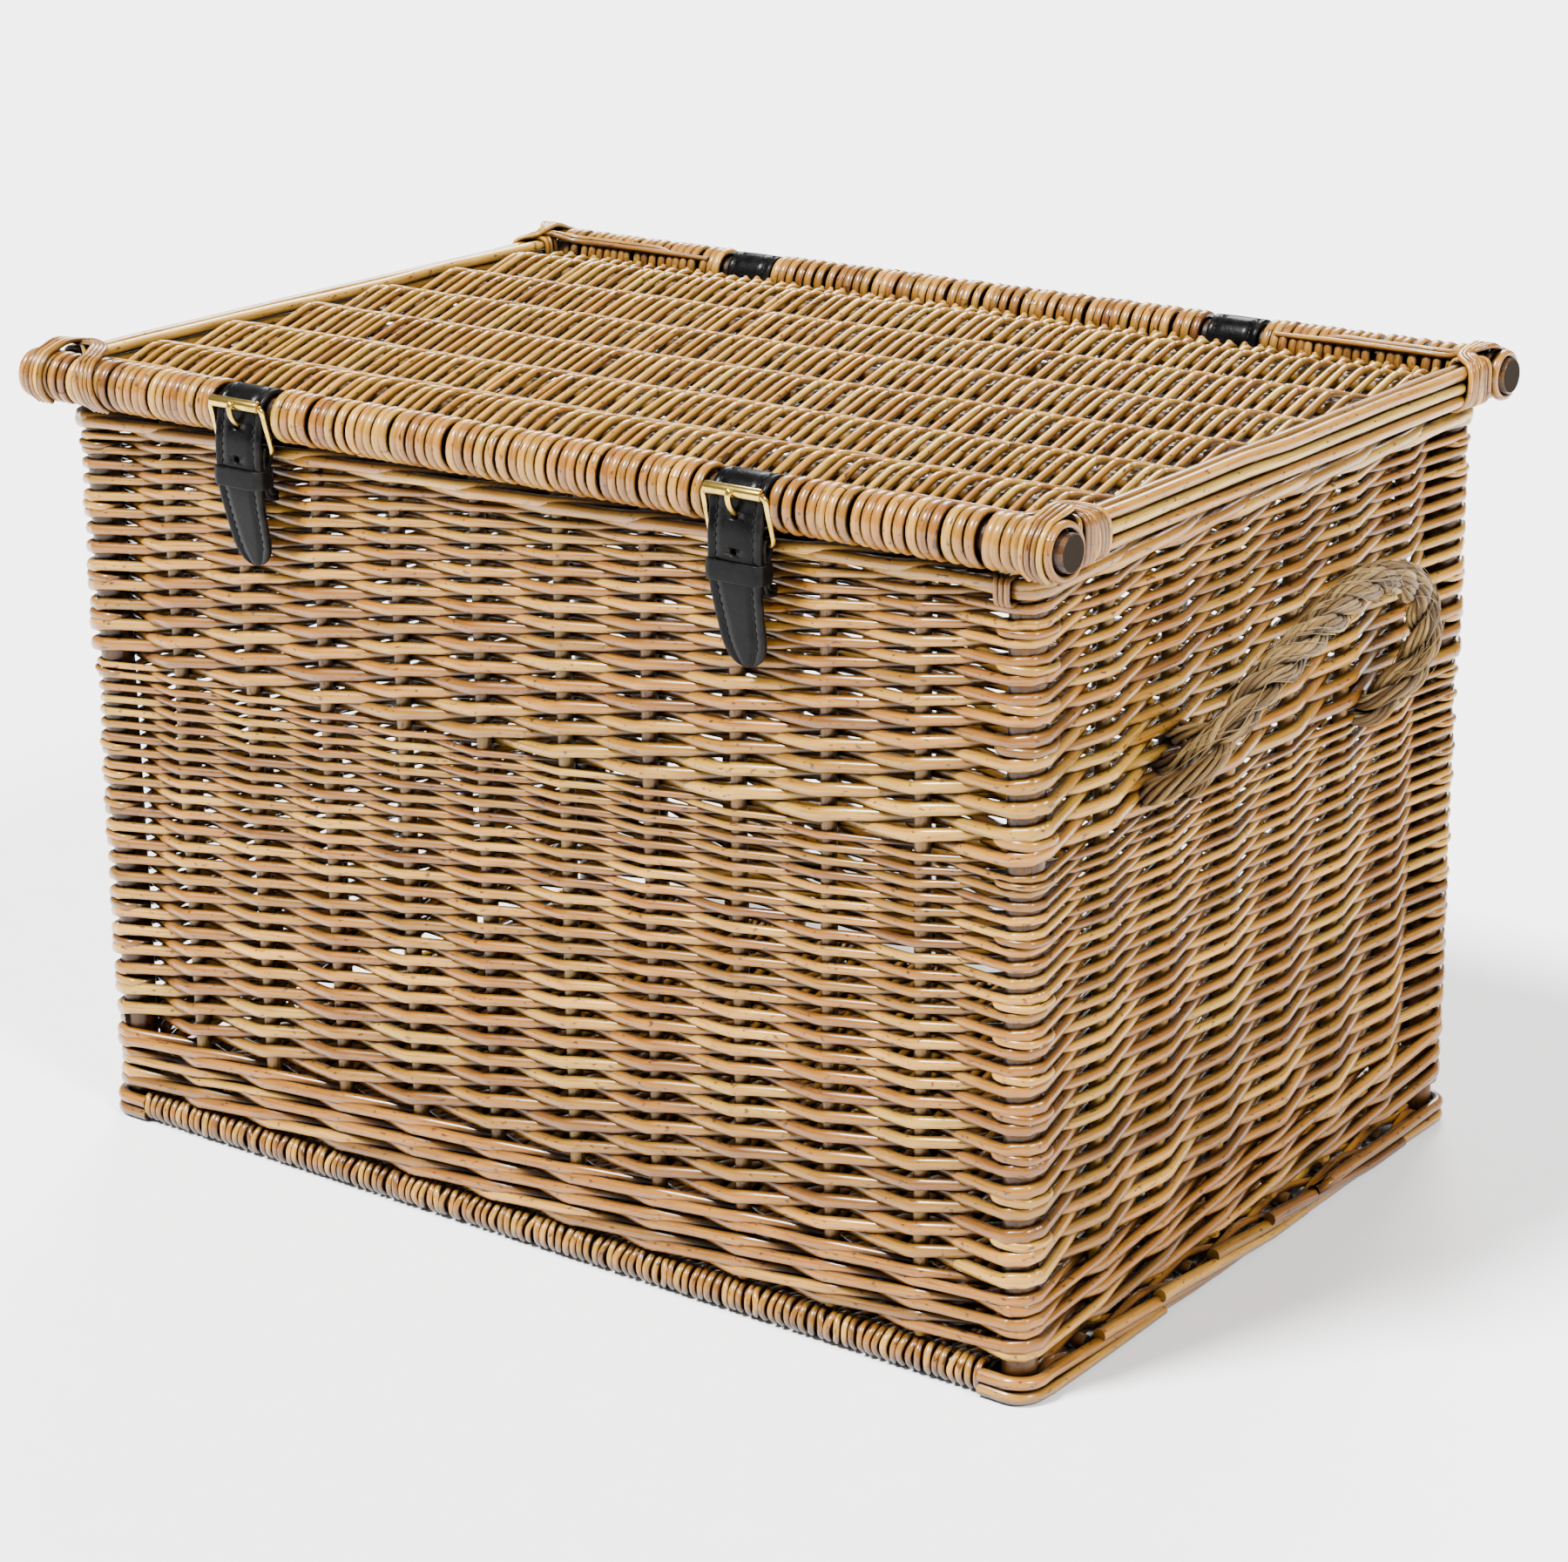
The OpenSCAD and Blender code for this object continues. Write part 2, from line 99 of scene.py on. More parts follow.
world = bpy.data.worlds.new("world")
bpy.context.scene.world = world
world.use_nodes = True
world.node_tree.nodes["Background"].inputs["Color"].default_value = (1, 1, 1, 1)
world.node_tree.nodes["Background"].inputs["Strength"].default_value = 0.36


# ---------------------------------------------------------------- materials
class Nodes:
    """Short way to build one node material."""

    def __init__(self, name):
        self.material = bpy.data.materials.new(name)
        self.material.use_nodes = True
        self.tree = self.material.node_tree
        self.shader = self.tree.nodes["Principled BSDF"]

    def link(self, value, socket):
        if isinstance(value, bpy.types.NodeSocket):
            self.tree.links.new(value, socket)
        else:
            socket.default_value = value

    def add(self, kind, settings=None, **inputs):
        node = self.tree.nodes.new(kind)
        for key, value in (settings or {}).items():
            setattr(node, key, value)
        for key, value in inputs.items():
            self.link(value, node.inputs[key.replace("_", " ")])
        return node

    def attribute(self, name, output):
        return self.add("ShaderNodeAttribute", {"attribute_name": name}).outputs[output]

    def stretch(self, vector, scale):
        return self.add("ShaderNodeMapping", Vector=vector, Scale=scale).outputs["Vector"]

    def noise(self, vector, scale, detail=3.0, roughness=0.5, distortion=0.0):
        settings = {"Scale": scale, "Detail": detail, "Roughness": roughness, "Distortion": distortion}
        return self.add("ShaderNodeTexNoise", Vector=vector, **settings).outputs["Fac"]

    def growth_rings(self, vector, scale, distortion):
        kind = {"wave_type": "RINGS", "rings_direction": "Z"}
        settings = {"Scale": scale, "Distortion": distortion, "Detail": 3.0}
        return self.add("ShaderNodeTexWave", kind, Vector=vector, **settings).outputs["Fac"]

    def ramp(self, value, stops):
        node = self.add("ShaderNodeValToRGB", Fac=value)
        elements = node.color_ramp.elements
        while len(elements) < len(stops):
            elements.new(0.5)
        for element, (place, colour) in zip(elements, stops):
            element.position = place
            if isinstance(colour, (int, float)):
                colour = (colour, colour, colour)
            element.color = (*colour, 1)
        return node.outputs["Color"]

    def mix(self, factor, a, b, blend="MIX"):
        node = self.add("ShaderNodeMix", {"data_type": "RGBA", "blend_type": blend})
        self.link(factor, node.inputs["Factor"])
        for value, socket in ((a, node.inputs[6]), (b, node.inputs[7])):
            if isinstance(value, tuple):
                value = (*value, 1)
            self.link(value, socket)
        return node.outputs[2]

    def math(self, operation, a, b=0.0):
        node = self.add("ShaderNodeMath", {"operation": operation})
        self.link(a, node.inputs[0])
        self.link(b, node.inputs[1])
        return node.outputs[0]

    def times(self, a, b):
        return self.math("MULTIPLY", a, b)

    def plus(self, a, b):
        return self.math("ADD", a, b)

    # Multiplies one colour by another: used for real grain and marks, and for painted crevice shade.
    def multiply_colour(self, colour, by, amount=1.0):
        return self.mix(amount, colour, by, "MULTIPLY")

    def place(self):
        return self.add("ShaderNodeTexCoord").outputs["Object"]

    def bump(self, height, distance, strength=1.0, normal=None):
        node = self.add("ShaderNodeBump", Height=height, Distance=distance, Strength=strength)
        if normal is not None:
            self.link(normal, node.inputs["Normal"])
        return node.outputs["Normal"]

    def painted_crevice_shade(self, reach, dark):
        """Painted shade: darkens the colour where other surfaces come close, as an ambient occlusion node
        finds them.
        """
        node = self.add("ShaderNodeAmbientOcclusion", {"samples": 4}, Distance=reach)
        return self.ramp(node.outputs["AO"], [(0.34, dark), (0.90, (1, 1, 1))])

    def finish(self, **inputs):
        for key, value in inputs.items():
            self.link(value, self.shader.inputs[key.replace("_", " ")])
        return self.material


def willow(name, dark, mid, light, coat):
    """Varnished willow. Its grain coordinates are millimetres round and along each rod."""
    n = Nodes(name)
    grain = n.attribute("grain", "Vector")
    tone = n.attribute("tone", "Fac")
    cut = n.attribute("cut", "Fac")
    fibre = n.noise(n.stretch(grain, (1.6, 1.6, 0.06)), 1.0, 4.0, 0.6)
    patch = n.noise(n.stretch(grain, (0.22, 0.22, 0.035)), 1.0, 3.0, 0.55, 0.6)
    speck = n.noise(n.stretch(grain, (0.55, 0.55, 0.28)), 1.0, 2.0, 0.5)
    where = n.plus(n.times(tone, 0.62), n.times(patch, 0.55))
    where = n.math("SUBTRACT", where, 0.08)
    colour = n.ramp(where, [(0.08, dark), (0.48, mid), (0.86, light)])
    number = n.math("FRACT", n.times(tone, 37.0))
    hue = n.ramp(number, [(0.1, (1.0, 0.91, 0.75)), (0.5, (1, 0.97, 0.85)), (0.9, (0.93, 1.0, 0.75))])
    colour = n.multiply_colour(colour, hue)
    streaks = n.ramp(fibre, [(0.32, (0.50, 0.40, 0.30)), (0.50, (0.94, 0.92, 0.9)), (0.64, (1.0, 1.0, 1.0))])
    colour = n.multiply_colour(colour, streaks, 0.85)
    marks = n.ramp(speck, [(0.31, (0.13, 0.07, 0.04)), (0.37, (1, 1, 1))])
    colour = n.multiply_colour(colour, marks, 0.85)
    rings = n.growth_rings(grain, 0.32, 2.0)
    pith, wood, bark = (0.005, 0.0032, 0.0022), (0.012, 0.008, 0.005), (0.030, 0.019, 0.012)
    end = n.ramp(rings, [(0.1, pith), (0.6, wood), (0.95, bark)])
    colour = n.mix(cut, colour, end)
    # Painted shade: the colour is darkened towards deep brown where other rods come close.
    colour = n.multiply_colour(colour, n.painted_crevice_shade(0.013, (0.030, 0.012, 0.005)))
    height = n.plus(n.times(fibre, 0.5), n.times(patch, 1.6))
    normal = n.bump(height, 0.00035, 0.55)
    rough = n.plus(n.times(patch, 0.22), 0.30)
    rough = n.plus(rough, n.times(cut, 0.25))
    shine = n.times(n.math("SUBTRACT", 1.0, cut), coat)
    varnish = {"Specular_IOR_Level": 0.22, "Coat_Weight": shine, "Coat_Roughness": 0.15}
    return n.finish(Base_Color=colour, Roughness=rough, Normal=normal, **varnish)


def leather_material():
    n = Nodes("black_leather")
    place = n.place()
    cells = n.add("ShaderNodeTexVoronoi", {"feature": "SMOOTH_F1"}, Vector=place, Scale=950, Smoothness=0.4)
    broad = n.noise(place, 130, 4.0, 0.6)
    fine = n.noise(place, 1800, 3.0, 0.6)
    edge = n.add("ShaderNodeNewGeometry").outputs["Pointiness"]
    worn = n.ramp(edge, [(0.52, 0.0), (0.60, 1.0)])
    base = n.ramp(broad, [(0.3, (0.0008, 0.0008, 0.001)), (0.7, (0.003, 0.003, 0.003))])
    worn = n.times(worn, n.ramp(broad, [(0.4, 0.0), (0.65, 0.4)]))
    base = n.mix(worn, base, (0.05, 0.04, 0.032))
    height = n.plus(cells.outputs["Distance"], n.times(fine, 0.5))
    normal = n.bump(broad, 0.0005, 0.4, n.bump(height, 0.00015, 0.4))
    rough = n.ramp(broad, [(0.3, 0.27), (0.7, 0.40)])
    polish = {"Specular_IOR_Level": 0.04, "Coat_Weight": 0.07, "Coat_Roughness": 0.2}
    return n.finish(Base_Color=base, Roughness=rough, Normal=normal, **polish)


def brass_material():
    n = Nodes("polished_brass")
    place = n.place()
    film = n.noise(place, 160, 5.0, 0.6)
    scratch = n.noise(n.stretch(place, (3000, 300, 300)), 1.0, 2.0, 0.6)
    base = n.ramp(film, [(0.3, (0.32, 0.20, 0.03)), (0.62, (0.70, 0.49, 0.11))])
    rough = n.ramp(film, [(0.35, 0.30), (0.7, 0.12)])
    return n.finish(Base_Color=base, Metallic=1.0, Roughness=rough, Normal=n.bump(scratch, 0.00003, 0.5))


def thread_material():
    n = Nodes("black_thread")
    grain = n.attribute("grain", "Vector")
    twist = n.noise(n.stretch(grain, (3, 3, 4)), 1.0, 2.0)
    base = n.ramp(twist, [(0.3, 0.001), (0.7, 0.006)])
    normal = n.bump(twist, 0.0001, 0.6)
    return n.finish(Base_Color=base, Roughness=0.6, Normal=normal, Specular_IOR_Level=0.15)


def rope_material():
    n = Nodes("straw_rope")
    grain = n.attribute("grain", "Vector")
    tone = n.attribute("tone", "Fac")
    fibre = n.noise(n.stretch(grain, (4.5, 4.5, 0.16)), 1.0, 4.0, 0.65)
    patch = n.noise(n.stretch(grain, (0.3, 0.3, 0.05)), 1.0, 2.0)
    where = n.plus(n.times(tone, 0.4), n.times(patch, 0.6))
    straw = [(0.2, (0.075, 0.034, 0.006)), (0.5, (0.21, 0.115, 0.025)), (0.78, (0.50, 0.34, 0.12))]
    colour = n.ramp(where, straw)
    lines = n.ramp(fibre, [(0.32, (0.30, 0.21, 0.13)), (0.55, (1, 1, 1))])
    colour = n.multiply_colour(colour, lines, 0.85)
    # Painted shade: the rope's colour is darkened where other surfaces come close.
    colour = n.multiply_colour(colour, n.painted_crevice_shade(0.006, (0.05, 0.025, 0.012)))
    polish = {"Specular_IOR_Level": 0.3, "Sheen_Weight": 0.04}
    return n.finish(Base_Color=colour, Roughness=0.4, Normal=n.bump(fibre, 0.0005, 0.9), **polish)


def end_grain_material():
    """Old sawn end of a thick stick."""
    n = Nodes("end_grain")
    rings = n.growth_rings(n.attribute("grain", "Vector"), 0.4, 3.0)
    base = n.ramp(rings, [(0.1, (0.007, 0.005, 0.0035)), (0.9, (0.026, 0.019, 0.013))])
    return n.finish(Base_Color=base, Roughness=0.8, Specular_IOR_Level=0.04)


def floor_material():
    n = Nodes("floor")
    place = n.place()
    grit = n.noise(place, 40, 3.0)
    base = n.ramp(grit, [(0.3, 0.93), (0.7, 0.95)])
    return n.finish(Base_Color=base, Roughness=0.8)


WILLOW = willow("willow", (0.105, 0.036, 0.003), (0.29, 0.122, 0.009), (0.53, 0.29, 0.043), 0.6)
WILLOW_LIGHT = willow("willow_light", (0.155, 0.058, 0.005), (0.37, 0.170, 0.015), (0.62, 0.38, 0.075), 0.65)
END_GRAIN = end_grain_material()
WILLOW_DARK = willow("willow_dark", (0.014, 0.005, 0.001), (0.17, 0.070, 0.008), (0.44, 0.24, 0.042), 0.2)
LEATHER = leather_material()
BRASS = brass_material()
THREAD = thread_material()
ROPE = rope_material()


# ---------------------------------------------------------------- mesh helpers
def mesh_object(name, verts, faces, material, body, attributes=None):
    """faces is a list of arrays, one array for each number of corners."""
    mesh = bpy.data.meshes.new(name)
    mesh.vertices.add(len(verts))
    mesh.vertices.foreach_set("co", np.asarray(verts, np.float32).ravel())
    corners = np.concatenate([f.ravel() for f in faces])
    sizes = np.concatenate([np.full(len(f), f.shape[1]) for f in faces])
    mesh.loops.add(len(corners))
    mesh.loops.foreach_set("vertex_index", corners.astype(np.int32))
    mesh.polygons.add(len(sizes))
    mesh.polygons.foreach_set("loop_start", (np.cumsum(sizes) - sizes).astype(np.int32))
    mesh.update(calc_edges=True)
    mesh.polygons.foreach_set("use_smooth", np.full(len(sizes), True))
    for key, values in (attributes or {}).items():
        values = np.asarray(values, np.float32)
        kind = "FLOAT_VECTOR" if values.ndim == 2 else "FLOAT"
        layer = mesh.attributes.new(key, kind, "POINT")
        layer.data.foreach_set("vector" if values.ndim == 2 else "value", values.ravel())
    mesh.materials.append(material)
    thing = bpy.data.objects.new(name, mesh)
    bpy.context.scene.collection.objects.link(thing)
    if body:
        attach(thing, body)
    return thing


def unit(v):
    return v / np.maximum(np.linalg.norm(v, axis=-1, keepdims=True), 1e-12)


def wobble(n, size, step):
    """Smooth random values: a new one about every step samples."""
    knots = max(int(n / step) + 3, 4)
    values = rng.normal(0, size, knots)
    at = np.linspace(0, knots - 1.001, n)
    i = at.astype(int)
    u = at - i
    u = u * u * (3 - 2 * u)
    return values[i] * (1 - u) + values[i + 1] * u


def random_tone(mean, spread):
    return np.clip(rng.normal(mean, spread), 0, 1)


def distances(points):
    """Length of the path from its start to each point."""
    return np.concatenate([[0], np.cumsum(np.linalg.norm(np.diff(points, axis=0), axis=1))])


def full_turn(count):
    """Cosines and sines of evenly spaced angles round a circle."""
    a = np.linspace(0, 2 * math.pi, count, endpoint=False)
    return np.cos(a), np.sin(a)


def rounded(value, power):
    """Flattens a cosine or sine, which makes a rectangle with round corners of a circle."""
    return np.sign(value) * np.abs(value) ** power


def smooth_path(points, per_span):
    """Catmull-Rom curve through the points."""
    p = np.asarray(points, float)
    p = np.vstack([2 * p[0] - p[1], p, 2 * p[-1] - p[-2]])
    u = np.linspace(0, 1, per_span, endpoint=False)[:, None]
    out = []
    for i in range(1, len(p) - 2):
        a, b, c, d = p[i - 1 : i + 3]
        square, cube = 2 * a - 5 * b + 4 * c - d, 3 * b - 3 * c + d - a
        out.append(0.5 * (2 * b + (c - a) * u + square * u**2 + cube * u**3))
    out.append(p[-2:-1])
    return np.vstack(out)


class Rods:
    """Many swept rods in one mesh."""

    def __init__(self):
        self.parts = []
        self.count = 0

    def add(
        self, points, radii, up, tone=None, sides=8, wide=1.0, thick=1.0, caps=True, closed=False, cut=1.0
    ):
        """One rod along points. wide scales its section along up, a direction or "carry", and thick scales it
        across; tone goes from dark to light; cut says how much its ends show as cut."""
        p = np.asarray(points, float)
        n = len(p)
        r = np.broadcast_to(np.asarray(radii, float), (n,))
        if closed:
            t = unit(np.roll(p, -1, 0) - np.roll(p, 1, 0))
        else:
            t = unit(np.gradient(p, axis=0))
        if isinstance(up, str):
            nn = transported(t)
        else:
            nn = np.broadcast_to(np.asarray(up, float), (n, 3))
            nn = unit(nn - (nn * t).sum(1, keepdims=True) * t)
        bb = np.cross(t, nn)
        ca, sa = full_turn(sides)
        wide, thick = (np.broadcast_to(value, (n,))[:, None, None] for value in (wide, thick))
        ring = thick * ca[None, :, None] * bb[:, None] + wide * sa[None, :, None] * nn[:, None]
        v = p[:, None] + r[:, None, None] * ring
        seed = rng.uniform(0, 5000)
        grain = np.empty((n, sides, 3))
        grain[..., 0] = r[:, None] * ca * 1000
        grain[..., 1] = r[:, None] * sa * 1000 + seed * 0.37
        grain[..., 2] = distances(p)[:, None] * 1000 + seed
        i = np.arange(n if closed else n - 1)[:, None]
        j = np.arange(sides)[None]
        k, l = (j + 1) % sides, (i + 1) % n
        quads = np.stack([i * sides + j, i * sides + k, l * sides + k, l * sides + j], -1).reshape(-1, 4)
        v, grain = v.reshape(-1, 3), grain.reshape(-1, 3)
        cuts = np.zeros(len(v))
        ends = np.zeros((0, sides), int)
        if caps and not closed:
            flat = np.zeros((2 * sides, 3))
            flat[:sides, :2] = flat[sides:, :2] = np.stack([ca, sa], 1) * r[0] * 1000
            base = len(v)
            v = np.vstack([v, v[:sides], v[-sides:]])
            grain = np.vstack([grain, flat])
            cuts = np.concatenate([cuts, np.full(2 * sides, cut)])
            order = np.arange(sides)
            ends = np.stack([base + order[::-1], base + sides + order])
        if tone is None:
            tone = rng.uniform(0, 1)
        self.parts.append((v, quads + self.count, ends + self.count, grain, np.full(len(v), tone), cuts))
        self.count += len(v)

    def build(self, name, material, body, slot, nodes=()):
        """Makes one object of the rods; nodes are the CAD nodes that it replaces."""
        v, quads, ends, grain, tone, cut = zip(*self.parts)
        faces = [np.concatenate(quads)]
        by_size = {}
        for e in ends:
            if len(e):
                by_size.setdefault(e.shape[1], []).append(e)
        faces += [np.concatenate(e) for e in by_size.values()]
        values = {"grain": grain, "tone": tone, "cut": cut}
        attributes = {key: np.concatenate(value) for key, value in values.items()}
        thing = mesh_object(name, np.concatenate(v), faces, material, body, attributes)
        if nodes:
            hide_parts(*nodes)
        return thing


def build_parts(parts, name, material, body, slot, node):
    """Several meshes named name_a, name_b and so on, of which the first replaces the node."""
    for n, rods in enumerate(parts):
        rods.build(f"{name}_{'abc'[n]}", material, body, slot, (node,) if n == 0 else ())


def transported(t):
    """Normals carried along a path without twist."""
    start = np.array([0, 0, 1.0]) if abs(t[0][2]) < 0.9 else np.array([1.0, 0, 0])
    out = [unit(start - start.dot(t[0]) * t[0])]
    for direction in t[1:]:
        last = out[-1]
        out.append(unit(last - last.dot(direction) * direction))
    return np.array(out)


# ---------------------------------------------------------------- sizes from the frame
def box(node):
    low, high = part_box(node)
    return np.array(low), np.array(high)


front_low, front_high = box("front_stakes")
right_low, right_high = box("right_stakes")
STAKE_R = (front_high[1] - front_low[1]) / 2
MID_Y = -(front_high[1] + front_low[1]) / 2
MID_X = (right_high[0] + right_low[0]) / 2
LONG_N, SIDE_N = 10, 6
LONG_STEP = (front_high[0] - front_low[0] - 2 * STAKE_R) / (LONG_N - 1)
SIDE_STEP = (right_high[1] - right_low[1] - 2 * STAKE_R) / (SIDE_N - 1)
POST_X = LONG_STEP * (LONG_N + 1) / 2
POST_Y = SIDE_STEP * (SIDE_N + 1) / 2
POST_R = box("corner_posts")[1][0] - POST_X
COUNT = 2 * (LONG_N + SIDE_N) + 4
BANDS = ("upsett_wale", "lower_randing", "upper_randing", "top_border")
WALE_Z, LOWER_Z, UPPER_Z, BORDER_Z = ([corner[2] for corner in box(node)] for node in BANDS)


# ---------------------------------------------------------------- uprights round the trunk
def uprights():
    """(kind, place, outward, onward) of each upright, going round to the right from the front left post."""
    walls = [((0, -1), (1, 0)), ((1, 0), (0, 1)), ((0, 1), (-1, 0)), ((-1, 0), (0, -1))]
    corners = [(-POST_X, -POST_Y), (POST_X, -POST_Y), (POST_X, POST_Y), (-POST_X, POST_Y)]
    out = []
    walls = [np.array(wall, float) for wall in walls]
    for w, (normal, onward) in enumerate(walls):
        last_normal, last_onward = walls[w - 1]
        out.append(("post", np.array(corners[w]), (last_normal, normal), (last_onward, onward)))
        count, step = (LONG_N, LONG_STEP) if w % 2 == 0 else (SIDE_N, SIDE_STEP)
        depth = MID_Y if w % 2 == 0 else MID_X
        corner = np.array(corners[w])
        for i in range(1, count + 1):
            place = corner + onward * step * i
            place = place * np.abs(onward) + normal * depth
            out.append(("stake", place, normal, onward))
    return out


UPRIGHTS = uprights()
POSTS = [k for k, u in enumerate(UPRIGHTS) if u[0] == "post"]
ARC = 0.2  # share of a bay in which an outside rod turns half a corner
PRESS = 0.9 * MM  # how far rods and uprights press into each other
BEND = 0.24  # lower makes rods straighter between the uprights
THIN, THICK = 1.1 * MM, 2.9 * MM


def plan_curve(outside, rod_r):
    """Closed plan curve woven round the uprights: outside(k) says on which side it passes upright k."""
    nodes = []
    for k, (kind, place, normal, onward) in enumerate(UPRIGHTS):
        if kind == "stake":
            sign = 1 if outside(k) else -1
            nodes.append((k, place + normal * sign * (STAKE_R + rod_r - PRESS), onward))
        else:
            r = POST_R + rod_r - PRESS
            diagonal = unit(normal[0] + normal[1])
            way = unit(onward[0] + onward[1])
            if outside(k):
                nodes.append((k - ARC, place + normal[0] * r, onward[0]))
                nodes.append((k, place + diagonal * r, way))
                nodes.append((k + ARC, place + normal[1] * r, onward[1]))
            else:
                nodes.append((k, place - diagonal * r, way))
    nodes.append((nodes[0][0] + COUNT, nodes[0][1], nodes[0][2]))
    ts, ps = [], []
    u = np.linspace(0, 1, 16, endpoint=False)[:, None]
    for (t0, p0, d0), (t1, p1, d1) in zip(nodes, nodes[1:]):
        size = BEND * np.linalg.norm(p1 - p0)
        h = (2 * u**3 - 3 * u**2 + 1) * p0 + (u**3 - 2 * u**2 + u) * size * d0
        h = h + (-2 * u**3 + 3 * u**2) * p1 + (u**3 - u**2) * size * d1
        ts.append(t0 + u[:, 0] * (t1 - t0))
        ps.append(h)
    t, p = np.concatenate(ts), np.concatenate(ps)
    t = np.concatenate([t - COUNT, t, t + COUNT])
    p = np.tile(p, (3, 1))
    return t, p


class Weave:
    """Plan places of a rod that passes the uprights on the sides that outside(k) says."""

    def __init__(self, outside):
        self.thin = plan_curve(outside, THIN)
        self.thick = plan_curve(outside, THICK)

    def at(self, t, rod_r):
        t = np.mod(np.asarray(t, float), COUNT)
        share = ((rod_r - THIN) / (THICK - THIN))[:, None]
        thin, thick = (
            np.column_stack([np.interp(t, at, plan[:, axis]) for axis in (0, 1)])
            for at, plan in (self.thin, self.thick)
        )
        return thin + (thick - thin) * share


def samples(start, stop, per_bay=7):
    """Values of t from start to stop, closer together at the posts."""
    t = np.arange(math.ceil(start * per_bay), math.floor(stop * per_bay) + 1) / per_bay
    extra = [t, [start, stop]]
    for lap in range(-1, 5):
        for k in POSTS:
            extra.append(k + lap * COUNT + np.linspace(-0.25, 0.25, 11))
    t = np.unique(np.round(np.concatenate(extra), 4))
    return t[(t >= start) & (t <= stop)]


# of each wave: turns round the trunk, phase, how soon it changes with height (mm), size
WAVES = [
    (rng.integers(1, 7), rng.uniform(0, 6.28), rng.uniform(20, 70), rng.uniform(0.25, 0.6)) for _ in range(6)
]


def unevenness(t, z):
    """How far the hand-laid rows stray from level, the same for all rods at one place."""
    out = 0
    for turns, phase, length, size in WAVES:
        out = out + size * np.sin(2 * math.pi * turns * t / COUNT + phase + z / MM / length)
    return out * MM * 0.7


def near_post(t):
    """1 beside a corner post, 0 away from it."""
    gap = np.min([np.abs((t - k + COUNT / 2) % COUNT - COUNT / 2) for k in POSTS], axis=0)
    return np.clip(1.6 - 4 * gap, 0, 1)


def wall_rod(rods, weave, start, stop, height, radius, tone):
    """One rod from upright start to upright stop; height(t) and radius(t) are in metres."""
    stray = 0.22 * MM
    t = samples(start, stop)
    r = radius(t) * (1 + wobble(len(t), 0.035, 9))
    plan = weave.at(t, r)
    z = height(t)
    z = z + unevenness(np.mod(t, COUNT), z) + wobble(len(t), stray, 6)
    plan = plan + unit(plan) * wobble(len(t), stray, 5)[:, None]
    press = np.cos(2 * math.pi * t)
    corner = near_post(t)
    tall = 1.08 + 0.05 * press + 0.14 * corner
    flat = 0.92 - 0.08 * press - 0.06 * corner
    rods.add(np.column_stack([plan, z]), r, (0, 0, 1), tone, wide=tall, thick=flat)


WEAVES = [Weave(lambda k, odd=odd: k % 2 == odd) for odd in (0, 1)]


def pitches(band, stages, first, last):
    """Height that one rod takes up, at each quarter bay from its start, and how far it has climbed there."""
    low, high = band
    pitch = np.linspace(first, last, stages * 4 + 1)
    pitch = pitch / (pitch[:-1].sum() / 4) * (high - low)
    return np.arange(stages * 4 + 1) / 4, pitch, np.concatenate([[0], np.cumsum(pitch[:-1]) / 4])


def randing(name, node, band, stages, first, last):
    """A set of rods, one started beside each upright, that climb to the right in front of one and behind
    the next."""
    grid, pitch, climb = pitches(band, stages, first, last)
    fill, most = 0.56, 2.65 * MM
    parts = [Rods() for _ in range(3)]
    for i in range(COUNT):
        tone = random_tone(0.5, 0.24)

        def height(t, i=i):
            j = np.clip(t - i, 0, stages)
            return band[0] + np.interp(j, grid, climb) + np.interp(j, grid, pitch) * 0.5

        def radius(t, i=i):
            return np.minimum(np.interp(np.clip(t - i, 0, stages), grid, pitch) * fill, most)

        wall_rod(parts[i % 3], WEAVES[(i + 1) % 2], i - 0.15, i + stages - 0.1, height, radius, tone)
    build_parts(parts, name, WILLOW, "trunk", "willow", node)


# height of the band, bays that a rod runs, and the proportion of its room at its butt to that at its tip
LOWER = (LOWER_Z, 46, 4.9, 2.5)
UPPER = (UPPER_Z, 26, 5.0, 3.0)
randing("lower_rods", "lower_randing", *LOWER)
randing("upper_rods", "upper_randing", *UPPER)

WALE = [Weave(lambda k, r=r: (k + r) % 3 != 0) for r in range(3)]


def wale():
    """Three rods at a time, each in front of two uprights and behind one, for three rounds."""
    rods = Rods()
    low, high = WALE_Z
    rounds = 3
    climb = 0.9604 * (high - low) / rounds
    for r in range(3):
        start = -r
        end = COUNT * rounds
        while start < end:
            stop = min(start + int(rng.integers(5, 8)) * 3, end)
            tone = random_tone(0.45, 0.25)

            def height(t, r=r):
                phase = 2 * math.pi * (t + r) / 3
                climbed = climb * np.clip(t, 0, None) / COUNT
                return low + 2.5 * MM + climbed + 2.3 * MM * (1 - np.sin(phase))

            def radius(t, start=start, stop=stop):
                return (2.75 - 0.8 * (t - start) / (stop - start)) * MM

            wall_rod(rods, WALE[r], start - 0.1, stop + 0.15, height, radius, tone)
            start = stop
    return rods


wale().build("wale_rods", WILLOW, "trunk", "willow", ("upsett_wale",))


def border():
    """Each stake end is turned down to the right, in front of two uprights and behind the third."""
    rods = Rods()
    low, high = BORDER_Z
    for i in range(COUNT):
        tone = random_tone(0.6, 0.22)

        def height(t, i=i):
            j = np.clip((t - i) / 3, 0, 1)
            return low + (3.0 + 6.4 * j) * MM

        def radius(t, i=i):
            return (3.0 - 0.7 * np.clip((t - i) / 3, 0, 1)) * MM

        wall_rod(rods, WALE[(-i) % 3], i - 0.05, i + 3.1, height, radius, tone)
    return rods


border().build("border_rods", WILLOW_LIGHT, "trunk", "willow_light", ("top_border",))


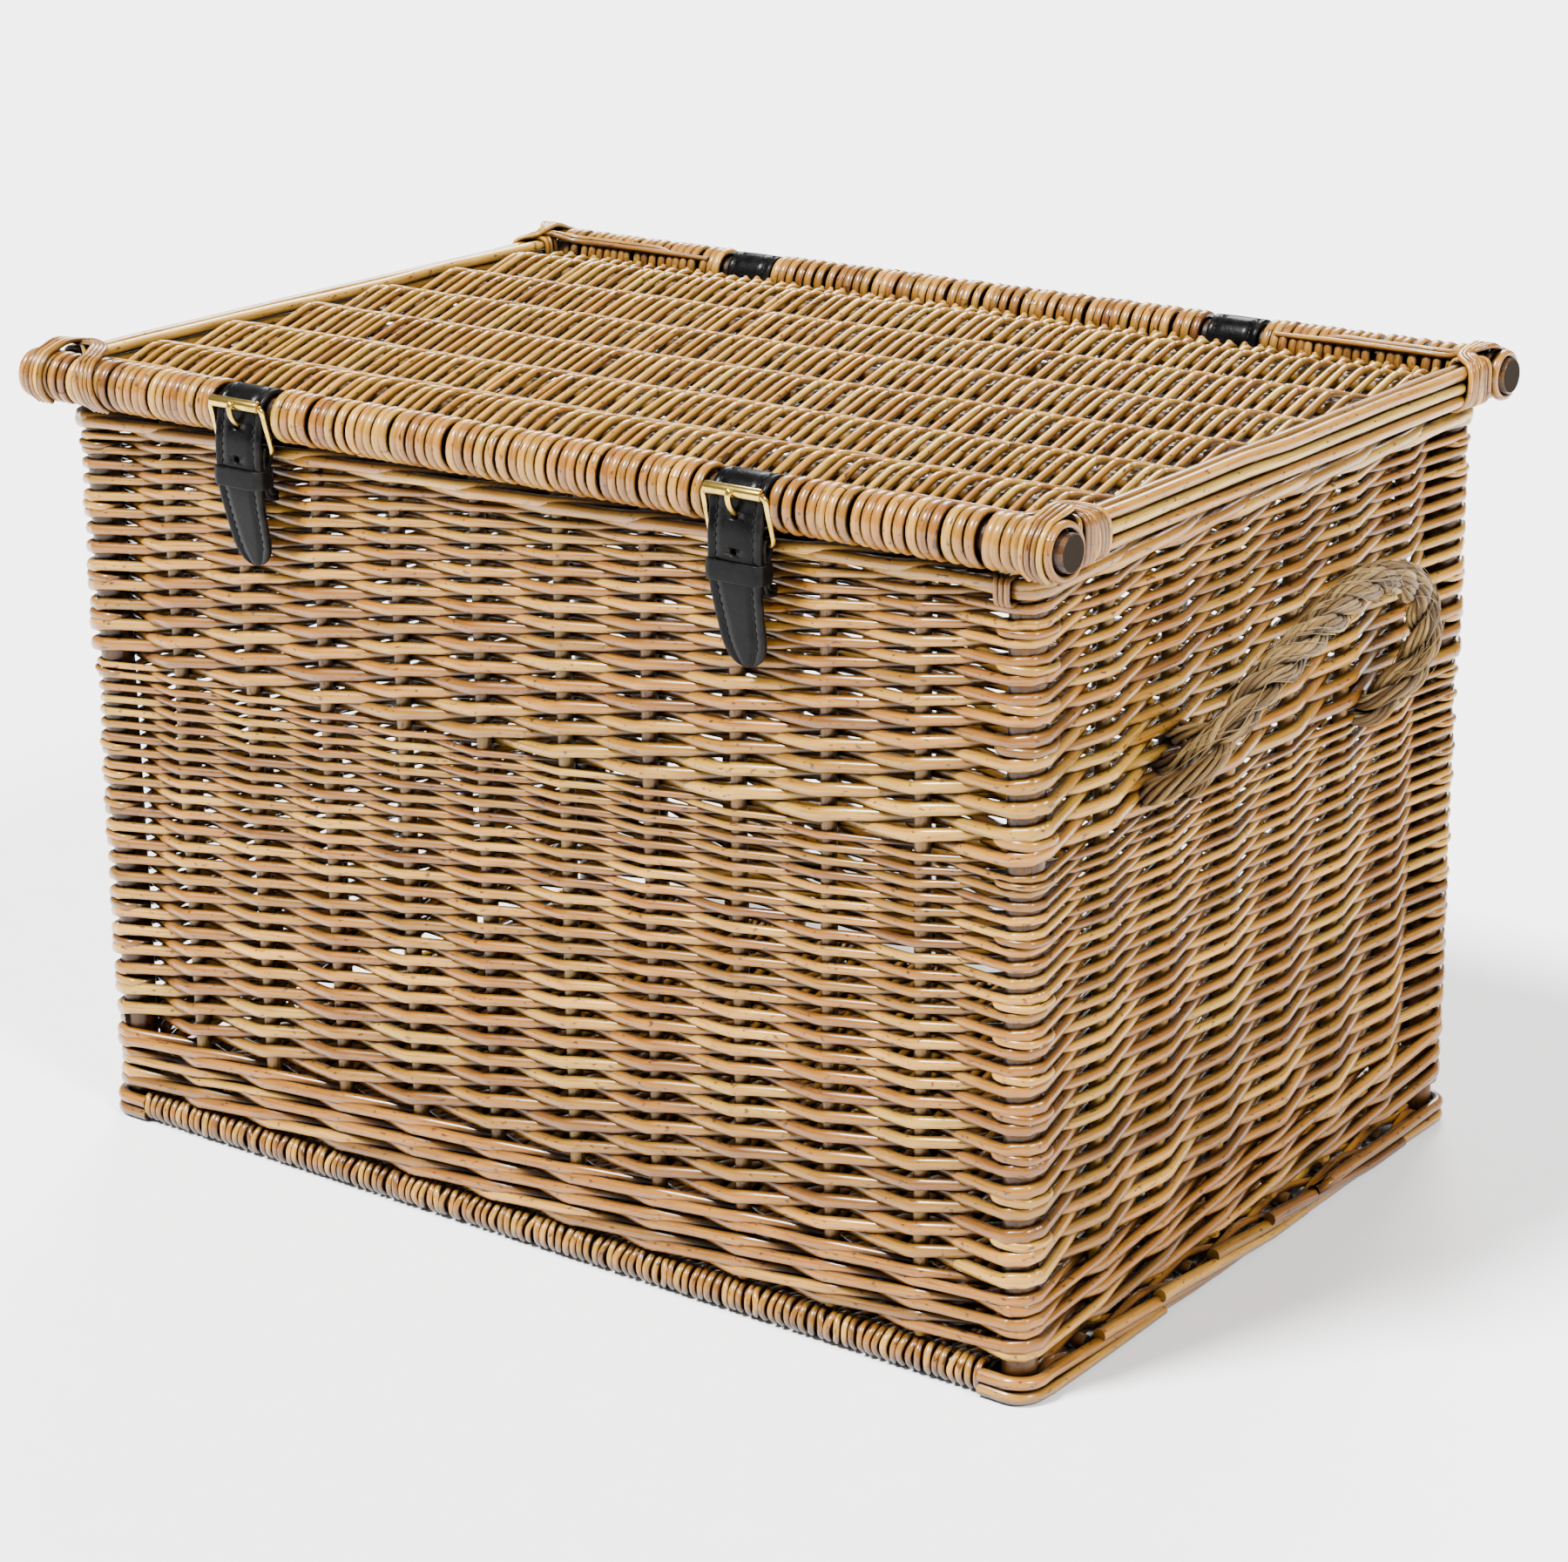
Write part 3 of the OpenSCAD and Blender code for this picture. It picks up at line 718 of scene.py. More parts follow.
def border_tie():
    """A split rod bound three times round the border where it passes the front right post."""
    rods = Rods()
    x = POST_X - 3 * MM
    middle = (-POST_Y - POST_R - 2.4 * MM, BORDER_Z[0] + 5.4 * MM)
    half_y, half_z = 3.9 * MM, 5.1 * MM
    ca, sa = full_turn(32)
    for turn in (-2.3, 0, 2.3):
        lean = rng.normal(0, 0.4) * MM
        y = middle[0] + rounded(ca, 0.5) * half_y
        z = middle[1] + rounded(sa, 0.5) * half_z
        points = np.column_stack([x + turn * MM + lean * sa, y, z])
        rods.add(points, 1.2 * MM, (1, 0, 0), 0.15, closed=True)
    return rods


border_tie().build("border_tie", WILLOW, "trunk", "willow")


def post_loops():
    """Short rods round the outside of each post, where a rod of the weave passes on its inside."""
    rods = Rods()
    reach = POST_R + 1.5 * MM
    steps = ((2.0 * MM, 11.5 * MM), (reach * 0.9, 7 * MM), (reach * 1.02, 1 * MM))
    for k in POSTS:
        _, place, normal, onward = UPRIGHTS[k]
        diagonal = unit(normal[0] + normal[1])
        for band, stages, first, last in (LOWER, UPPER):
            grid, pitch, climb = pitches(band, stages, first, last)
            start = 1 + int(rng.integers(0, 2))
            for step in range(start, stages // 2, 2):
                if rng.random() < 0.2:
                    continue
                room = np.interp(2 * step, grid, pitch)
                z = band[0] + np.interp(2 * step, grid, climb) + room * 0.5
                z = z + float(unevenness(k, z))
                plan = [place + normal[0] * away - onward[0] * along for away, along in steps]
                plan += [place + diagonal * (reach + 0.5 * MM)]
                plan += [place + normal[1] * away + onward[1] * along for away, along in reversed(steps)]
                tilt = rng.normal(0, 0.15) * MM
                path = smooth_path([(*p, z + tilt * (i - 3)) for i, p in enumerate(plan)], 4)
                u = np.linspace(-1, 1, len(path))
                radii = room * 0.5 * (0.45 + 0.55 * np.sqrt(np.clip(1 - u * u, 0, 1)))
                rods.add(path, radii, (0, 0, 1), thick=0.8)
    return rods


post_loops().build("post_loops", WILLOW, "trunk", "willow")


def stick(rods, a, b, r, up, tone=None, sides=16, rings=28, bend=0.3, bevel=True):
    """A nearly straight, slightly uneven stick with cut ends; bend is in millimetres."""
    a, b = np.array(a, float), np.array(b, float)
    s = np.linspace(0, 1, rings)
    if bevel:
        edge = 0.6 * MM / np.linalg.norm(b - a)
        s = np.concatenate([[0, edge], s[1:-1], [1 - edge, 1]])
    p = a + (b - a) * s[:, None]
    n = len(s)
    side = unit(np.cross(b - a, np.array(up, float)))
    for way in (side, np.array(up)):
        p = p + way * wobble(n, bend * MM, 7)[:, None] * 0.6
    radii = r * (1 + wobble(n, 0.02, 5) - 0.01)
    if bevel:
        radii[[0, -1]] *= 0.9
    rods.add(p, radii, up, tone, sides)


def upright_rods():
    """Stakes and corner posts."""
    rods = Rods()
    nodes = ("front_stakes", "back_stakes", "left_stakes", "right_stakes")
    for node in nodes:
        low, high = box(node)
        for kind, place, normal, _ in UPRIGHTS:
            if kind == "stake" and np.all(low[:2] - MM < place) and np.all(place < high[:2] + MM):
                ends = (*place, low[2]), (*place, high[2])
                stick(rods, *ends, STAKE_R * 0.97, (*normal, 0), rng.uniform(0.6, 1), sides=10)
    rods.build("stakes", WILLOW_DARK, "trunk", "willow_dark", nodes)
    rods = Rods()
    low, high = box("corner_posts")
    for k in POSTS:
        ends = (*UPRIGHTS[k][1], low[2]), (*UPRIGHTS[k][1], high[2])
        stick(rods, *ends, POST_R * 0.985, (1, 0, 0), 0.25, sides=24, bend=0.15)
    rods.build("posts", WILLOW_DARK, "trunk", "willow_dark", ("corner_posts",))


upright_rods()


# ---------------------------------------------------------------- woven panels: lid and base
def panel_weaver(supports, roll_r, phase, wrap, lift):
    """Side view (y, z) of one rod that passes over and under the supports, given as (y, z). It turns round
    the two outer ones at roll_r, the radius to its middle, or without wrap it ends beside them."""

    def end(support, way, sign):
        """The rod at an outer support; way points inwards, and sign is 1 where it comes over."""
        y, z = support
        if wrap:
            angles = np.radians(np.linspace(320, 62, 16))
            return [(y + way * roll_r * math.cos(a), z + sign * roll_r * math.sin(a)) for a in angles]
        return [(y + way * 13.5 * MM, z - sign * 1.5 * MM), (y + way * 22 * MM, z + sign * 1.5 * MM)]

    signs = [1 if (i + phase) % 2 == 0 else -1 for i in range(len(supports))]
    points = end(supports[0], 1, signs[0])
    flat = 5.5 * MM
    for (y, z), sign in zip(supports[1:-1], signs[1:-1]):
        height = sign * lift
        points += [(y - flat, z + height * 0.94), (y, z + height), (y + flat, z + height * 0.94)]
    points += reversed(end(supports[-1], -1, signs[-1]))
    return smooth_path(points, 3)


def wrap_roll(rods, y, z, roll_r, rod_r, half, leathers, room):
    """Turns of rod side by side round a stick along X, in small groups with gaps between them, and none
    within room of the leathers."""
    pitch = 4.7 * MM
    count = 26
    x = -half
    while x < half:
        if all(abs(x - leather) > room for leather in leathers):
            ring_r = roll_r + rng.normal(0, 0.12) * MM
            tone = random_tone(0.45, 0.24)
            turn = rng.uniform(0, 2 * math.pi)
            a = np.linspace(turn, turn + 2 * math.pi * 1.02, count)
            slant = rng.normal(0, 0.45) * MM
            ring = [x + slant * np.cos(a + 0.6), y + ring_r * np.cos(a), z + ring_r * np.sin(a)]
            radii = rod_r * (1 + wobble(count, 0.05, 8))
            rods.add(np.column_stack(ring), radii, (1, 0, 0), tone, wide=1.3, thick=0.9, caps=False)
        x += pitch * (1 + rng.choice([-0.10, -0.05, 0.0, 0.05, 0.30], p=[0.25, 0.2, 0.15, 0.15, 0.25]))


LID_FRONT = box("lid_front_stick")
LID_BACK = box("lid_back_stick")
_, LID_Y0, LID_Z = np.add(*LID_FRONT) / 2
LID_STICK_R = (LID_FRONT[1][2] - LID_FRONT[0][2]) / 2
LID_Y1 = (LID_BACK[0][1] + LID_BACK[1][1]) / 2
LID_ROLL_R = LID_Y0 - box("lid_weave")[0][1]
LID_ROLL_X = box("lid_weave")[1][0]
LID_HALF = box("lid_ribs")[1][0] + 1 * MM
STRAPS, HINGES = (
    {side: np.mean(box(node + side), axis=0)[0] for side in ("left", "right")}
    for node in ("strap_", "hinge_loop_")
)
STRAP_ROOM = 15.7 * MM  # the wraps keep this far from a strap's middle
HINGE_ROOM = 13.2 * MM


def lid():
    """Woven panel of the lid, with the sticks it is woven on and the wraps round the outer two."""
    rib_low, rib_high = box("lid_ribs")
    rib_r = (rib_high[2] - rib_low[2]) / 2
    step = (LID_Y1 - LID_Y0) / 7
    supports = [(LID_Y0 + i * step, LID_Z) for i in range(8)]
    wrap_r = (LID_ROLL_R - LID_STICK_R) / 2
    roll_r = LID_STICK_R + wrap_r * 0.98
    pitch = 3.55 * MM
    count = int(2 * (LID_HALF - 1.5 * MM) / pitch)
    shift = wobble(count + 1, 0.9 * MM, 4)
    parts = [Rods() for _ in range(3)]
    for j in range(count + 1):
        x = -count * pitch / 2 + j * pitch
        if 0 < j < count:
            x += shift[j]
        rod_r = rng.uniform(1.42, 1.82) * MM
        path = panel_weaver(supports, roll_r, j % 2, False, rib_r + 2.2 * MM)
        n = len(path)
        points = [x + wobble(n, 0.5 * MM, 12), path[:, 0], path[:, 1] + wobble(n, 0.25 * MM, 8)]
        taper = np.linspace(1.08, 0.92, n)[:: 1 if rng.random() < 0.5 else -1]
        tone = random_tone(0.55, 0.24)
        parts[j % 3].add(np.column_stack(points), rod_r * taper, (1, 0, 0), tone)
    build_parts(parts, "lid_rods", WILLOW_LIGHT, "lid", "willow_light", "lid_weave")
    rods = Rods()
    for y, leathers, room in ((LID_Y0, STRAPS, STRAP_ROOM), (LID_Y1, HINGES, HINGE_ROOM)):
        wrap_roll(rods, y, LID_Z, roll_r, wrap_r * 0.98, LID_ROLL_X + 1.6 * MM, leathers.values(), room)
    rods.build("lid_wraps", WILLOW, "lid", "willow")
    rods = Rods()
    for (low, high), y in ((LID_FRONT, LID_Y0), (LID_BACK, LID_Y1)):
        r = LID_STICK_R - 0.25 * MM
        stick(rods, (low[0], y, LID_Z), (high[0], y, LID_Z), r, (0, 0, 1), -0.05, sides=32, bend=0.05)
    for y, z in supports[1:-1]:
        stick(rods, (rib_low[0], y, z), (rib_high[0], y, z), rib_r * 0.97, (0, 0, 1), sides=10, bend=0.2)
    ends = Rods()
    proud = 0.15 * MM
    for (low, high), y in ((LID_FRONT, LID_Y0), (LID_BACK, LID_Y1)):
        for x, way in ((low[0], -proud), (high[0], proud)):
            places = (x - way * 4, y, LID_Z), (x + way, y, LID_Z)
            stick(ends, *places, LID_STICK_R * 0.9, (0, 0, 1), sides=32, rings=6, bend=0, bevel=False)
    ends.build("lid_stick_ends", END_GRAIN, "lid", "willow_dark")
    nodes = ("lid_front_stick", "lid_back_stick", "lid_ribs")
    rods.build("lid_sticks", WILLOW_DARK, "lid", "willow_dark", nodes)


lid()


LASH_R = 1.25 * MM


def corner_rod(rods, sx, y, inward, path):
    """A thin rod along path, which is for the front right corner, at the corner on side sx."""
    points = smooth_path([(sx * px, y + inward * py, LID_Z + pz) for px, py, pz in path], 4)
    rods.add(points, LASH_R * (1 + wobble(len(points), 0.04, 6)), "carry")


def roll_runners(rods, sx, y, inward, high, half_h):
    """Two thin rods that lie along the top of the roll, and turn down round the edge bundle."""
    for k in range(2):
        gap = k * 2.4 * MM
        path = [(LID_ROLL_X - 84 * MM - 9 * gap, 8.2 * MM, 6.5 * MM)]
        beside = (7.4 * MM + gap, 8.6 * MM - gap * 0.5)
        path += [(LID_ROLL_X - along * MM, *beside) for along in (74, 56, 38, 22)]
        path += [
            (high[0] - 8 * MM, 15 * MM + gap, half_h + 1.8 * MM),
            (high[0] + 0.2 * MM, 19 * MM + gap, half_h - 1.6 * MM),
            (high[0] + 0.7 * MM, 20 * MM + gap, -half_h * 0.4),
            (high[0] - 3.0 * MM, 20 * MM + gap, -half_h),
        ]
        corner_rod(rods, sx, y, inward, path)


def corner_lashing(rods, sx, y, inward, high, half_h, offset, lean):
    """Thin rods side by side from the outside of the roll, slanting over it and down round the edge
    bundle."""
    r = LID_ROLL_R + (0.3 if inward > 0 else -0.9) * MM
    for k in range(4):
        gap = (k - 1.5) * 2.5 * MM
        x_roll = LID_ROLL_X - offset + gap
        path = []
        for a in np.radians([-62, -30, 0, 30, 60, 80]):
            share = (a - math.radians(-62)) / math.radians(142)
            path.append((x_roll + share * lean * 0.25, -r * math.cos(a), r * math.sin(a)))
        path += [
            (x_roll + lean * 0.45, 8 * MM, half_h + 4.5 * MM),
            (high[0] - 7 * MM + gap * 0.3, 19 * MM - gap * 0.8, half_h + 2.0 * MM),
            (high[0] + 0.2 * MM, 25 * MM - gap, half_h - 1.6 * MM),
            (high[0] + 0.9 * MM, 27 * MM - gap, -half_h * 0.4),
            (high[0] - 3.0 * MM, 28 * MM - gap, -half_h),
            (high[0] - 10 * MM, 28 * MM - gap, -half_h - 0.3 * MM),
        ]
        corner_rod(rods, sx, y, inward, path)


def lid_edges():
    """Bundles of long rods along the short edges, with staggered ends, and the lashings round them."""
    rods = Rods()
    nodes = ("lid_edge_rods_left", "lid_edge_rods_right")
    for node in nodes:
        low, high = box(node)
        r = (high[0] - low[0]) / 4.08
        xs = (low[0] + r, high[0] - r)
        zs = np.linspace(low[2] + r, high[2] - r, 3)
        for x in xs:
            for z in zs:
                y0 = low[1] + rng.uniform(0, 2.5) * MM
                y1 = high[1] - rng.uniform(0, 9) * MM
                n = 40
                y = np.linspace(y0, y1, n)
                points = np.column_stack([x + wobble(n, 0.3 * MM, 6), y, z + wobble(n, 0.3 * MM, 6)])
                radii = np.linspace(r * 1.02, r * 0.9, n)[:: 1 if rng.random() < 0.5 else -1]
                rods.add(points, radii, (0, 0, 1), sides=10)
    rods.build("lid_edge_rods", WILLOW_LIGHT, "lid", "willow_light", nodes)
    rods = Rods()
    lash_low, lash_high = box("lid_lashings")
    low, high = box("lid_edge_rods_right")
    x0 = (low[0] + high[0]) / 2
    half_w = (high[0] - low[0]) / 2 + 0.9 * MM
    half_h = (high[2] - low[2]) / 2 + 0.9 * MM
    ca, sa = full_turn(28)
    for sx in (-1, 1):
        for y in (lash_low[1] + 5 * MM, lash_high[1] - 5 * MM):
            for turn in (-3.9, -1.4, 1.2, 3.7):
                along = y + turn * MM + rng.normal(0, 0.8) * MM * ca
                points = [sx * x0 + rounded(ca, 0.45) * half_w, along, LID_Z + rounded(sa, 0.45) * half_h]
                rods.add(np.column_stack(points), LASH_R, (0, 1, 0), wide=1.1, closed=True)
        for y, inward in ((LID_Y0, 1), (LID_Y1, -1)):
            corner_lashing(rods, sx, y, inward, high, half_h, 8 * MM, 2 * MM)
            if (sx, inward) == (-1, 1):  # the front left corner has a second one
                corner_lashing(rods, sx, y, inward, high, half_h, 42 * MM, 30 * MM)
            roll_runners(rods, sx, y, inward, high, half_h)
    rods.build("lashings", WILLOW, "lid", "willow", ("lid_lashings",))


lid_edges()


def base():
    """Woven panel of the base; its rods wrap the two outer sticks."""
    low, high = box("base_inner_sticks")
    out_low, out_high = box("base_outer_sticks")
    stick_r = (high[2] - low[2]) / 2
    z_in = (high[2] + low[2]) / 2
    z_out = (out_high[2] + out_low[2]) / 2
    out_r = (out_high[2] - out_low[2]) / 2
    y_out = out_high[1] - out_r
    roll_r = out_r + 1.3 * MM
    ys = np.linspace(low[1] + stick_r, high[1] - stick_r, 7)
    supports = [(-y_out, z_out)] + [(y, z_in) for y in ys] + [(y_out, z_out)]
    roll_half = out_high[0] + 1.5 * MM
    pitch = 3.95 * MM
    half = 241.5 * MM
    n_rods = int(2 * half / pitch)
    parts = [Rods() for _ in range(2)]
    for j in range(n_rods + 1):
        x = -n_rods * pitch / 2 + j * pitch
        path = panel_weaver(supports, roll_r, j % 2, abs(x) < roll_half, 3.9 * MM)
        n = len(path)
        points = [x + wobble(n, 0.6 * MM, 14), path[:, 0], path[:, 1] + wobble(n, 0.15 * MM, 8)]
        radii = np.full(n, rng.uniform(1.65, 1.85) * MM)
        edge = np.abs(path[:, 0]) > y_out - 8 * MM
        radii[edge] = rng.uniform(1.25, 1.4) * MM
        wide = rng.uniform(1.12, 1.38)
        tone = random_tone(0.45, 0.22)
        parts[j % 2].add(np.column_stack(points), radii, (1, 0, 0), tone, wide=wide)
    build_parts(parts, "base_rods", WILLOW, "trunk", "willow", "base_weave")
    rods = Rods()
    for y in (-y_out, y_out):
        ends = (out_low[0], y, z_out), (out_high[0], y, z_out)
        stick(rods, *ends, out_r * 0.99, (0, 0, 1), 0.3, sides=20, bend=0.05)
    for y in ys:
        stick(rods, (low[0], y, z_in), (high[0], y, z_in), stick_r * 0.97, (0, 0, 1), sides=10, bend=0.1)
    nodes = ("base_outer_sticks", "base_inner_sticks")
    rods.build("base_sticks", WILLOW_DARK, "trunk", "willow_dark", nodes)


base()


def foot_rods():
    """Rods laid along the foot of each side: each begins high with a cut end and slopes down under the
    next."""
    rods = Rods()
    low, high = box("foot_rods_right")
    r = (high[2] - low[2]) / 4.07
    turn = high[0] - POST_X - r
    x = POST_X + turn
    top, bottom = low[2] + 3.05 * r, low[2] + r

    def corner(sy, start, stop):
        angles = np.radians(np.linspace(start, stop, 9))
        return [(POST_X + turn * math.cos(a), sy * POST_Y + turn * math.sin(a)) for a in angles]

    for sx in (-1, 1):
        end = POST_Y - 30 * MM
        front = [(low[0], -POST_Y - turn)] + corner(-1, -90, 0)
        back = corner(1, 0, 90) + [(low[0], POST_Y + turn)]
        rest = [(x, y) for y in np.linspace(-POST_Y + 6 * MM, end, 22)]
        runs = [(front + rest[:12], top, bottom, 26 * MM), (front + rest[:7], bottom, bottom, 0.0)]
        late = [(x, end - 62 * MM)] + rest[15:] + back
        runs += [(rest[12:] + back, bottom, bottom, 0.0), (late, top, top, 0.0)]
        for k in range(4):
            begin = -POST_Y + (42 + 44 * k) * MM
            short = [(x, y) for y in np.linspace(begin, begin + 118 * MM, 14)]
            runs.append((short, top + 1.2 * MM, bottom, 6 * MM))
        # plan, height at its start and its end, and how far it runs level
        for k, (plan, z0, z1, flat) in enumerate(runs):
            plan = np.array(plan)
            run = distances(plan)
            share = np.clip((run - flat) / (run[-1] * 0.75 - flat), 0, 1)
            z = z0 + (z1 - z0) * share
            n = len(plan)
            out = np.where(np.abs(plan[:, 1]) < POST_Y, (0.7 if k % 2 else -0.5) * MM, 0)
            points = np.column_stack([sx * (plan[:, 0] + out), plan[:, 1], z + wobble(n, 0.15 * MM, 5)])
            rods.add(points, r * np.linspace(1.0, 0.8, n), (0, 0, 1), sides=12, cut=0.35)
    rods.build("foot_rods", WILLOW, "trunk", "willow", ("foot_rods_left", "foot_rods_right"))


foot_rods()


# ---------------------------------------------------------------- leather
def band(path, name, body, half_width, thick, across=(1, 0, 0), closed=False, grooves=True):
    """A leather strip swept along path; half_width, in metres, is one value for all points or one for each,
    and thick is in millimetres."""
    p = np.asarray(path, float)
    n = len(p)
    hw = np.broadcast_to(half_width, n)
    t = unit(np.roll(p, -1, 0) - np.roll(p, 1, 0)) if closed else unit(np.gradient(p, axis=0))
    w = np.array(across, float)
    out = unit(np.cross(t, w))
    h = thick / 2
    # half of the section from its edge: millimetres inwards, millimetres up
    half = [(0.0, 0.0), (0.1, 0.55 * h), (0.45, 0.96 * h), (1.2, h)]
    if grooves:
        half += [(3.2, h), (3.55, h - 0.35), (4.05, h - 0.35), (4.4, h)]
    half += [(7.5, h + 0.12)]
    profile = [(-1, d, q) for d, q in half] + [(1, d, q) for d, q in reversed(half)]
    profile += [(1, 0.45, -0.96 * h), (1, 3.0, -h), (-1, 3.0, -h), (-1, 0.45, -0.96 * h)]
    m = len(profile)
    sign, inset, level = np.array(profile).T * [[1], [MM], [MM]]
    x = sign[None] * (hw[:, None] - inset[None] * np.minimum(hw / (9 * MM), 1)[:, None])
    v = p[:, None] + x[..., None] * w + level[None, :, None] * out[:, None]
    i = np.arange(n if closed else n - 1)[:, None]
    j = np.arange(m)[None]
    k, l = (j + 1) % m, (i + 1) % n
    quads = np.stack([i * m + j, l * m + j, l * m + k, i * m + k], -1).reshape(-1, 4)
    faces = [quads]
    if not closed:
        order = np.arange(m)
        faces.append(np.stack([order, (n - 1) * m + order[::-1]]))
    thing = mesh_object(name, v.reshape(-1, 3), faces, LEATHER, body)
    shape = bmesh.new()
    shape.from_mesh(thing.data)
    bmesh.ops.recalc_face_normals(shape, faces=shape.faces)
    shape.to_mesh(thing.data)
    shape.free()
    return thing


def arc(cy, cz, r, a0, a1, count):
    """Points of a circle's arc between two angles in degrees."""
    a = np.radians(np.linspace(a0, a1, count))
    return np.column_stack([cy + r * np.cos(a), cz + r * np.sin(a)])


def round_corners(x0, x1, y0, y1, r, count):
    """A rectangle with round corners, with count points at each."""
    corners = ((x1 - r, y1 - r, 0), (x0 + r, y1 - r, 90), (x0 + r, y0 + r, 180), (x1 - r, y0 + r, 270))
    return np.vstack([arc(cx, cy, r, a0, a0 + 90, count) for cx, cy, a0 in corners])


def closed_even(points, step):
    """The same loop with points about step apart."""
    return even(np.vstack([points, points[:1]]), step)[:-1]


def lift_path(points, origin):
    """(y, z) points in millimetres to 3-D metres."""
    p = np.asarray(points, float) * MM
    return np.column_stack([np.full(len(p), origin[0]), origin[1] + p[:, 0], origin[2] + p[:, 1]])


def even(points, step):
    """The same path with points about step apart."""
    p = np.asarray(points, float)
    s = distances(p)
    count = max(int(s[-1] / step), 2)
    at = np.linspace(0, s[-1], count + 1)
    return np.column_stack([np.interp(at, s, p[:, k]) for k in range(p.shape[1])])


def cut_hole(thing, place, direction, r, depth):
    """Punches a round hole through a piece."""
    bpy.ops.mesh.primitive_cylinder_add(vertices=20, radius=r, depth=depth, location=place)
    cutter = bpy.context.object
    cutter.rotation_euler = Vector(direction).to_track_quat("Z", "Y").to_euler()
    bpy.context.view_layer.update()
    modifier = thing.modifiers.new("hole", "BOOLEAN")
    modifier.operation = "DIFFERENCE"
    modifier.solver = "EXACT"
    modifier.object = cutter
    mesh = bpy.data.meshes.new_from_object(thing.evaluated_get(bpy.context.evaluated_depsgraph_get()))
    thing.modifiers.clear()
    old = thing.data
    thing.data = mesh
    bpy.data.meshes.remove(old)
    bpy.data.objects.remove(cutter)


def stitches(rods, path, height, pitch=3.4 * MM):
    """A row of stitches lying in the groove of a strap."""
    p = even(path, pitch)
    t = unit(np.gradient(p, axis=0))
    out = np.cross(t, np.array([1.0, 0, 0]))
    for i in range(1, len(p) - 1):
        a = p[i] + out[i] * height - t[i] * 1.05 * MM
        b = p[i] + out[i] * (height + 0.22 * MM)
        c = p[i] + out[i] * height + t[i] * 1.05 * MM
        round_off = out[i] * 0.08 * MM
        thread = np.array([a, (a + b) / 2 + round_off, b, (b + c) / 2 + round_off, c])
        rods.add(thread, np.array([0.16, 0.3, 0.32, 0.3, 0.16]) * MM, (1, 0, 0), sides=6)


# places in millimetres as (y, z) from the middle of the lid's front stick
HEEL = (-6.3, -15.6)
ROLLER = (-11.8, 4.9)
TAIL = np.array([
    (-9.3, -2.5), (-10.2, -7.0), (-10.95, -12), (-11.1, -20), (-11.05, -29), (-10.2, -36), (-8.0, -46),
    (-5.6, -56), (-3.5, -65),
])
STRAP_HALF = 12.5
SEAM_INSET = 3.8


def strap(side, x, body):
    """The closing strap: a loop round the stick, then a tail that narrows to a round tip."""
    origin = (x, LID_Y0, LID_Z)
    path = even(np.vstack([arc(0, 0, 9.08, -125, 178, 48), smooth_path(TAIL, 6)]), 1.1)
    length = distances(path)
    left = length[-1] - length
    tip = 1 - np.clip(left / 12, 0, 1)
    half = np.interp(left, [10, 40], [10.2, STRAP_HALF]) * np.sqrt(np.clip(1 - tip**2, 0, 1))
    half = np.maximum(half, 0.5)
    points = lift_path(path, origin)
    leather = band(points, "strap_leather_" + side, body, half * MM, 2.5)
    for z in (-4.6, -18.4):
        y = np.interp(-z, -TAIL[:, 1], TAIL[:, 0])
        cut_hole(leather, (x, LID_Y0 + y * MM, LID_Z + z * MM), (0, 1, 0.1), 1.6 * MM, 8 * MM)
    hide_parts("strap_" + side)
    rods = Rods()
    seam = left > 5
    for sign in (-1, 1):
        row = points[seam].copy()
        row[:, 0] += sign * (half[seam] - SEAM_INSET * np.minimum(half[seam] / 9, 1)) * MM
        stitches(rods, row, 0.95 * MM)
    rods.build("strap_thread_" + side, THREAD, body, "leather")


def chape(side, x, body):
    """One strip doubled over the buckle's heel bar."""
    path = np.vstack([
        [(-1.6, -35), (-3.5, -35)], arc(-3.5, -30, 5, 270, 180, 8), [(-8.5, -22)],
        arc(*HEEL, 2.35, 180, 0, 12),
        [(-6.5, -22), (-6.5, -30)], arc(-3.5, -30, 3, 180, 270, 7), [(-1.6, -33)],
    ])
    points = lift_path(even(path, 0.9), (x, LID_Y0, LID_Z))
    piece = band(points[::-1], "chape_leather_" + side, body, STRAP_HALF * MM, 1.9, grooves=False)
    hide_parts("chape_" + side)


def keeper(side, x, body):
    """A closed band round strap and chape."""
    half = 12.75
    loop = closed_even(round_corners(-half, half, -13.2, -4.45, 2.4, 7), 1.0)
    bulge = 0.25 * np.cos(np.clip(loop[:, 0] / half, -1, 1) * math.pi / 2)
    loop[:, 1] += np.where(loop[:, 1] < -8, -bulge, bulge)
    height = np.full(len(loop), LID_Z - 26 * MM)
    points = np.column_stack([x + loop[:, 0] * MM, LID_Y0 + loop[:, 1] * MM, height])
    across = (0, 0, 1)
    piece = band(points, "keeper_leather_" + side, body, 4.0 * MM, 1.5, across, closed=True, grooves=False)
    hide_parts("keeper_" + side)


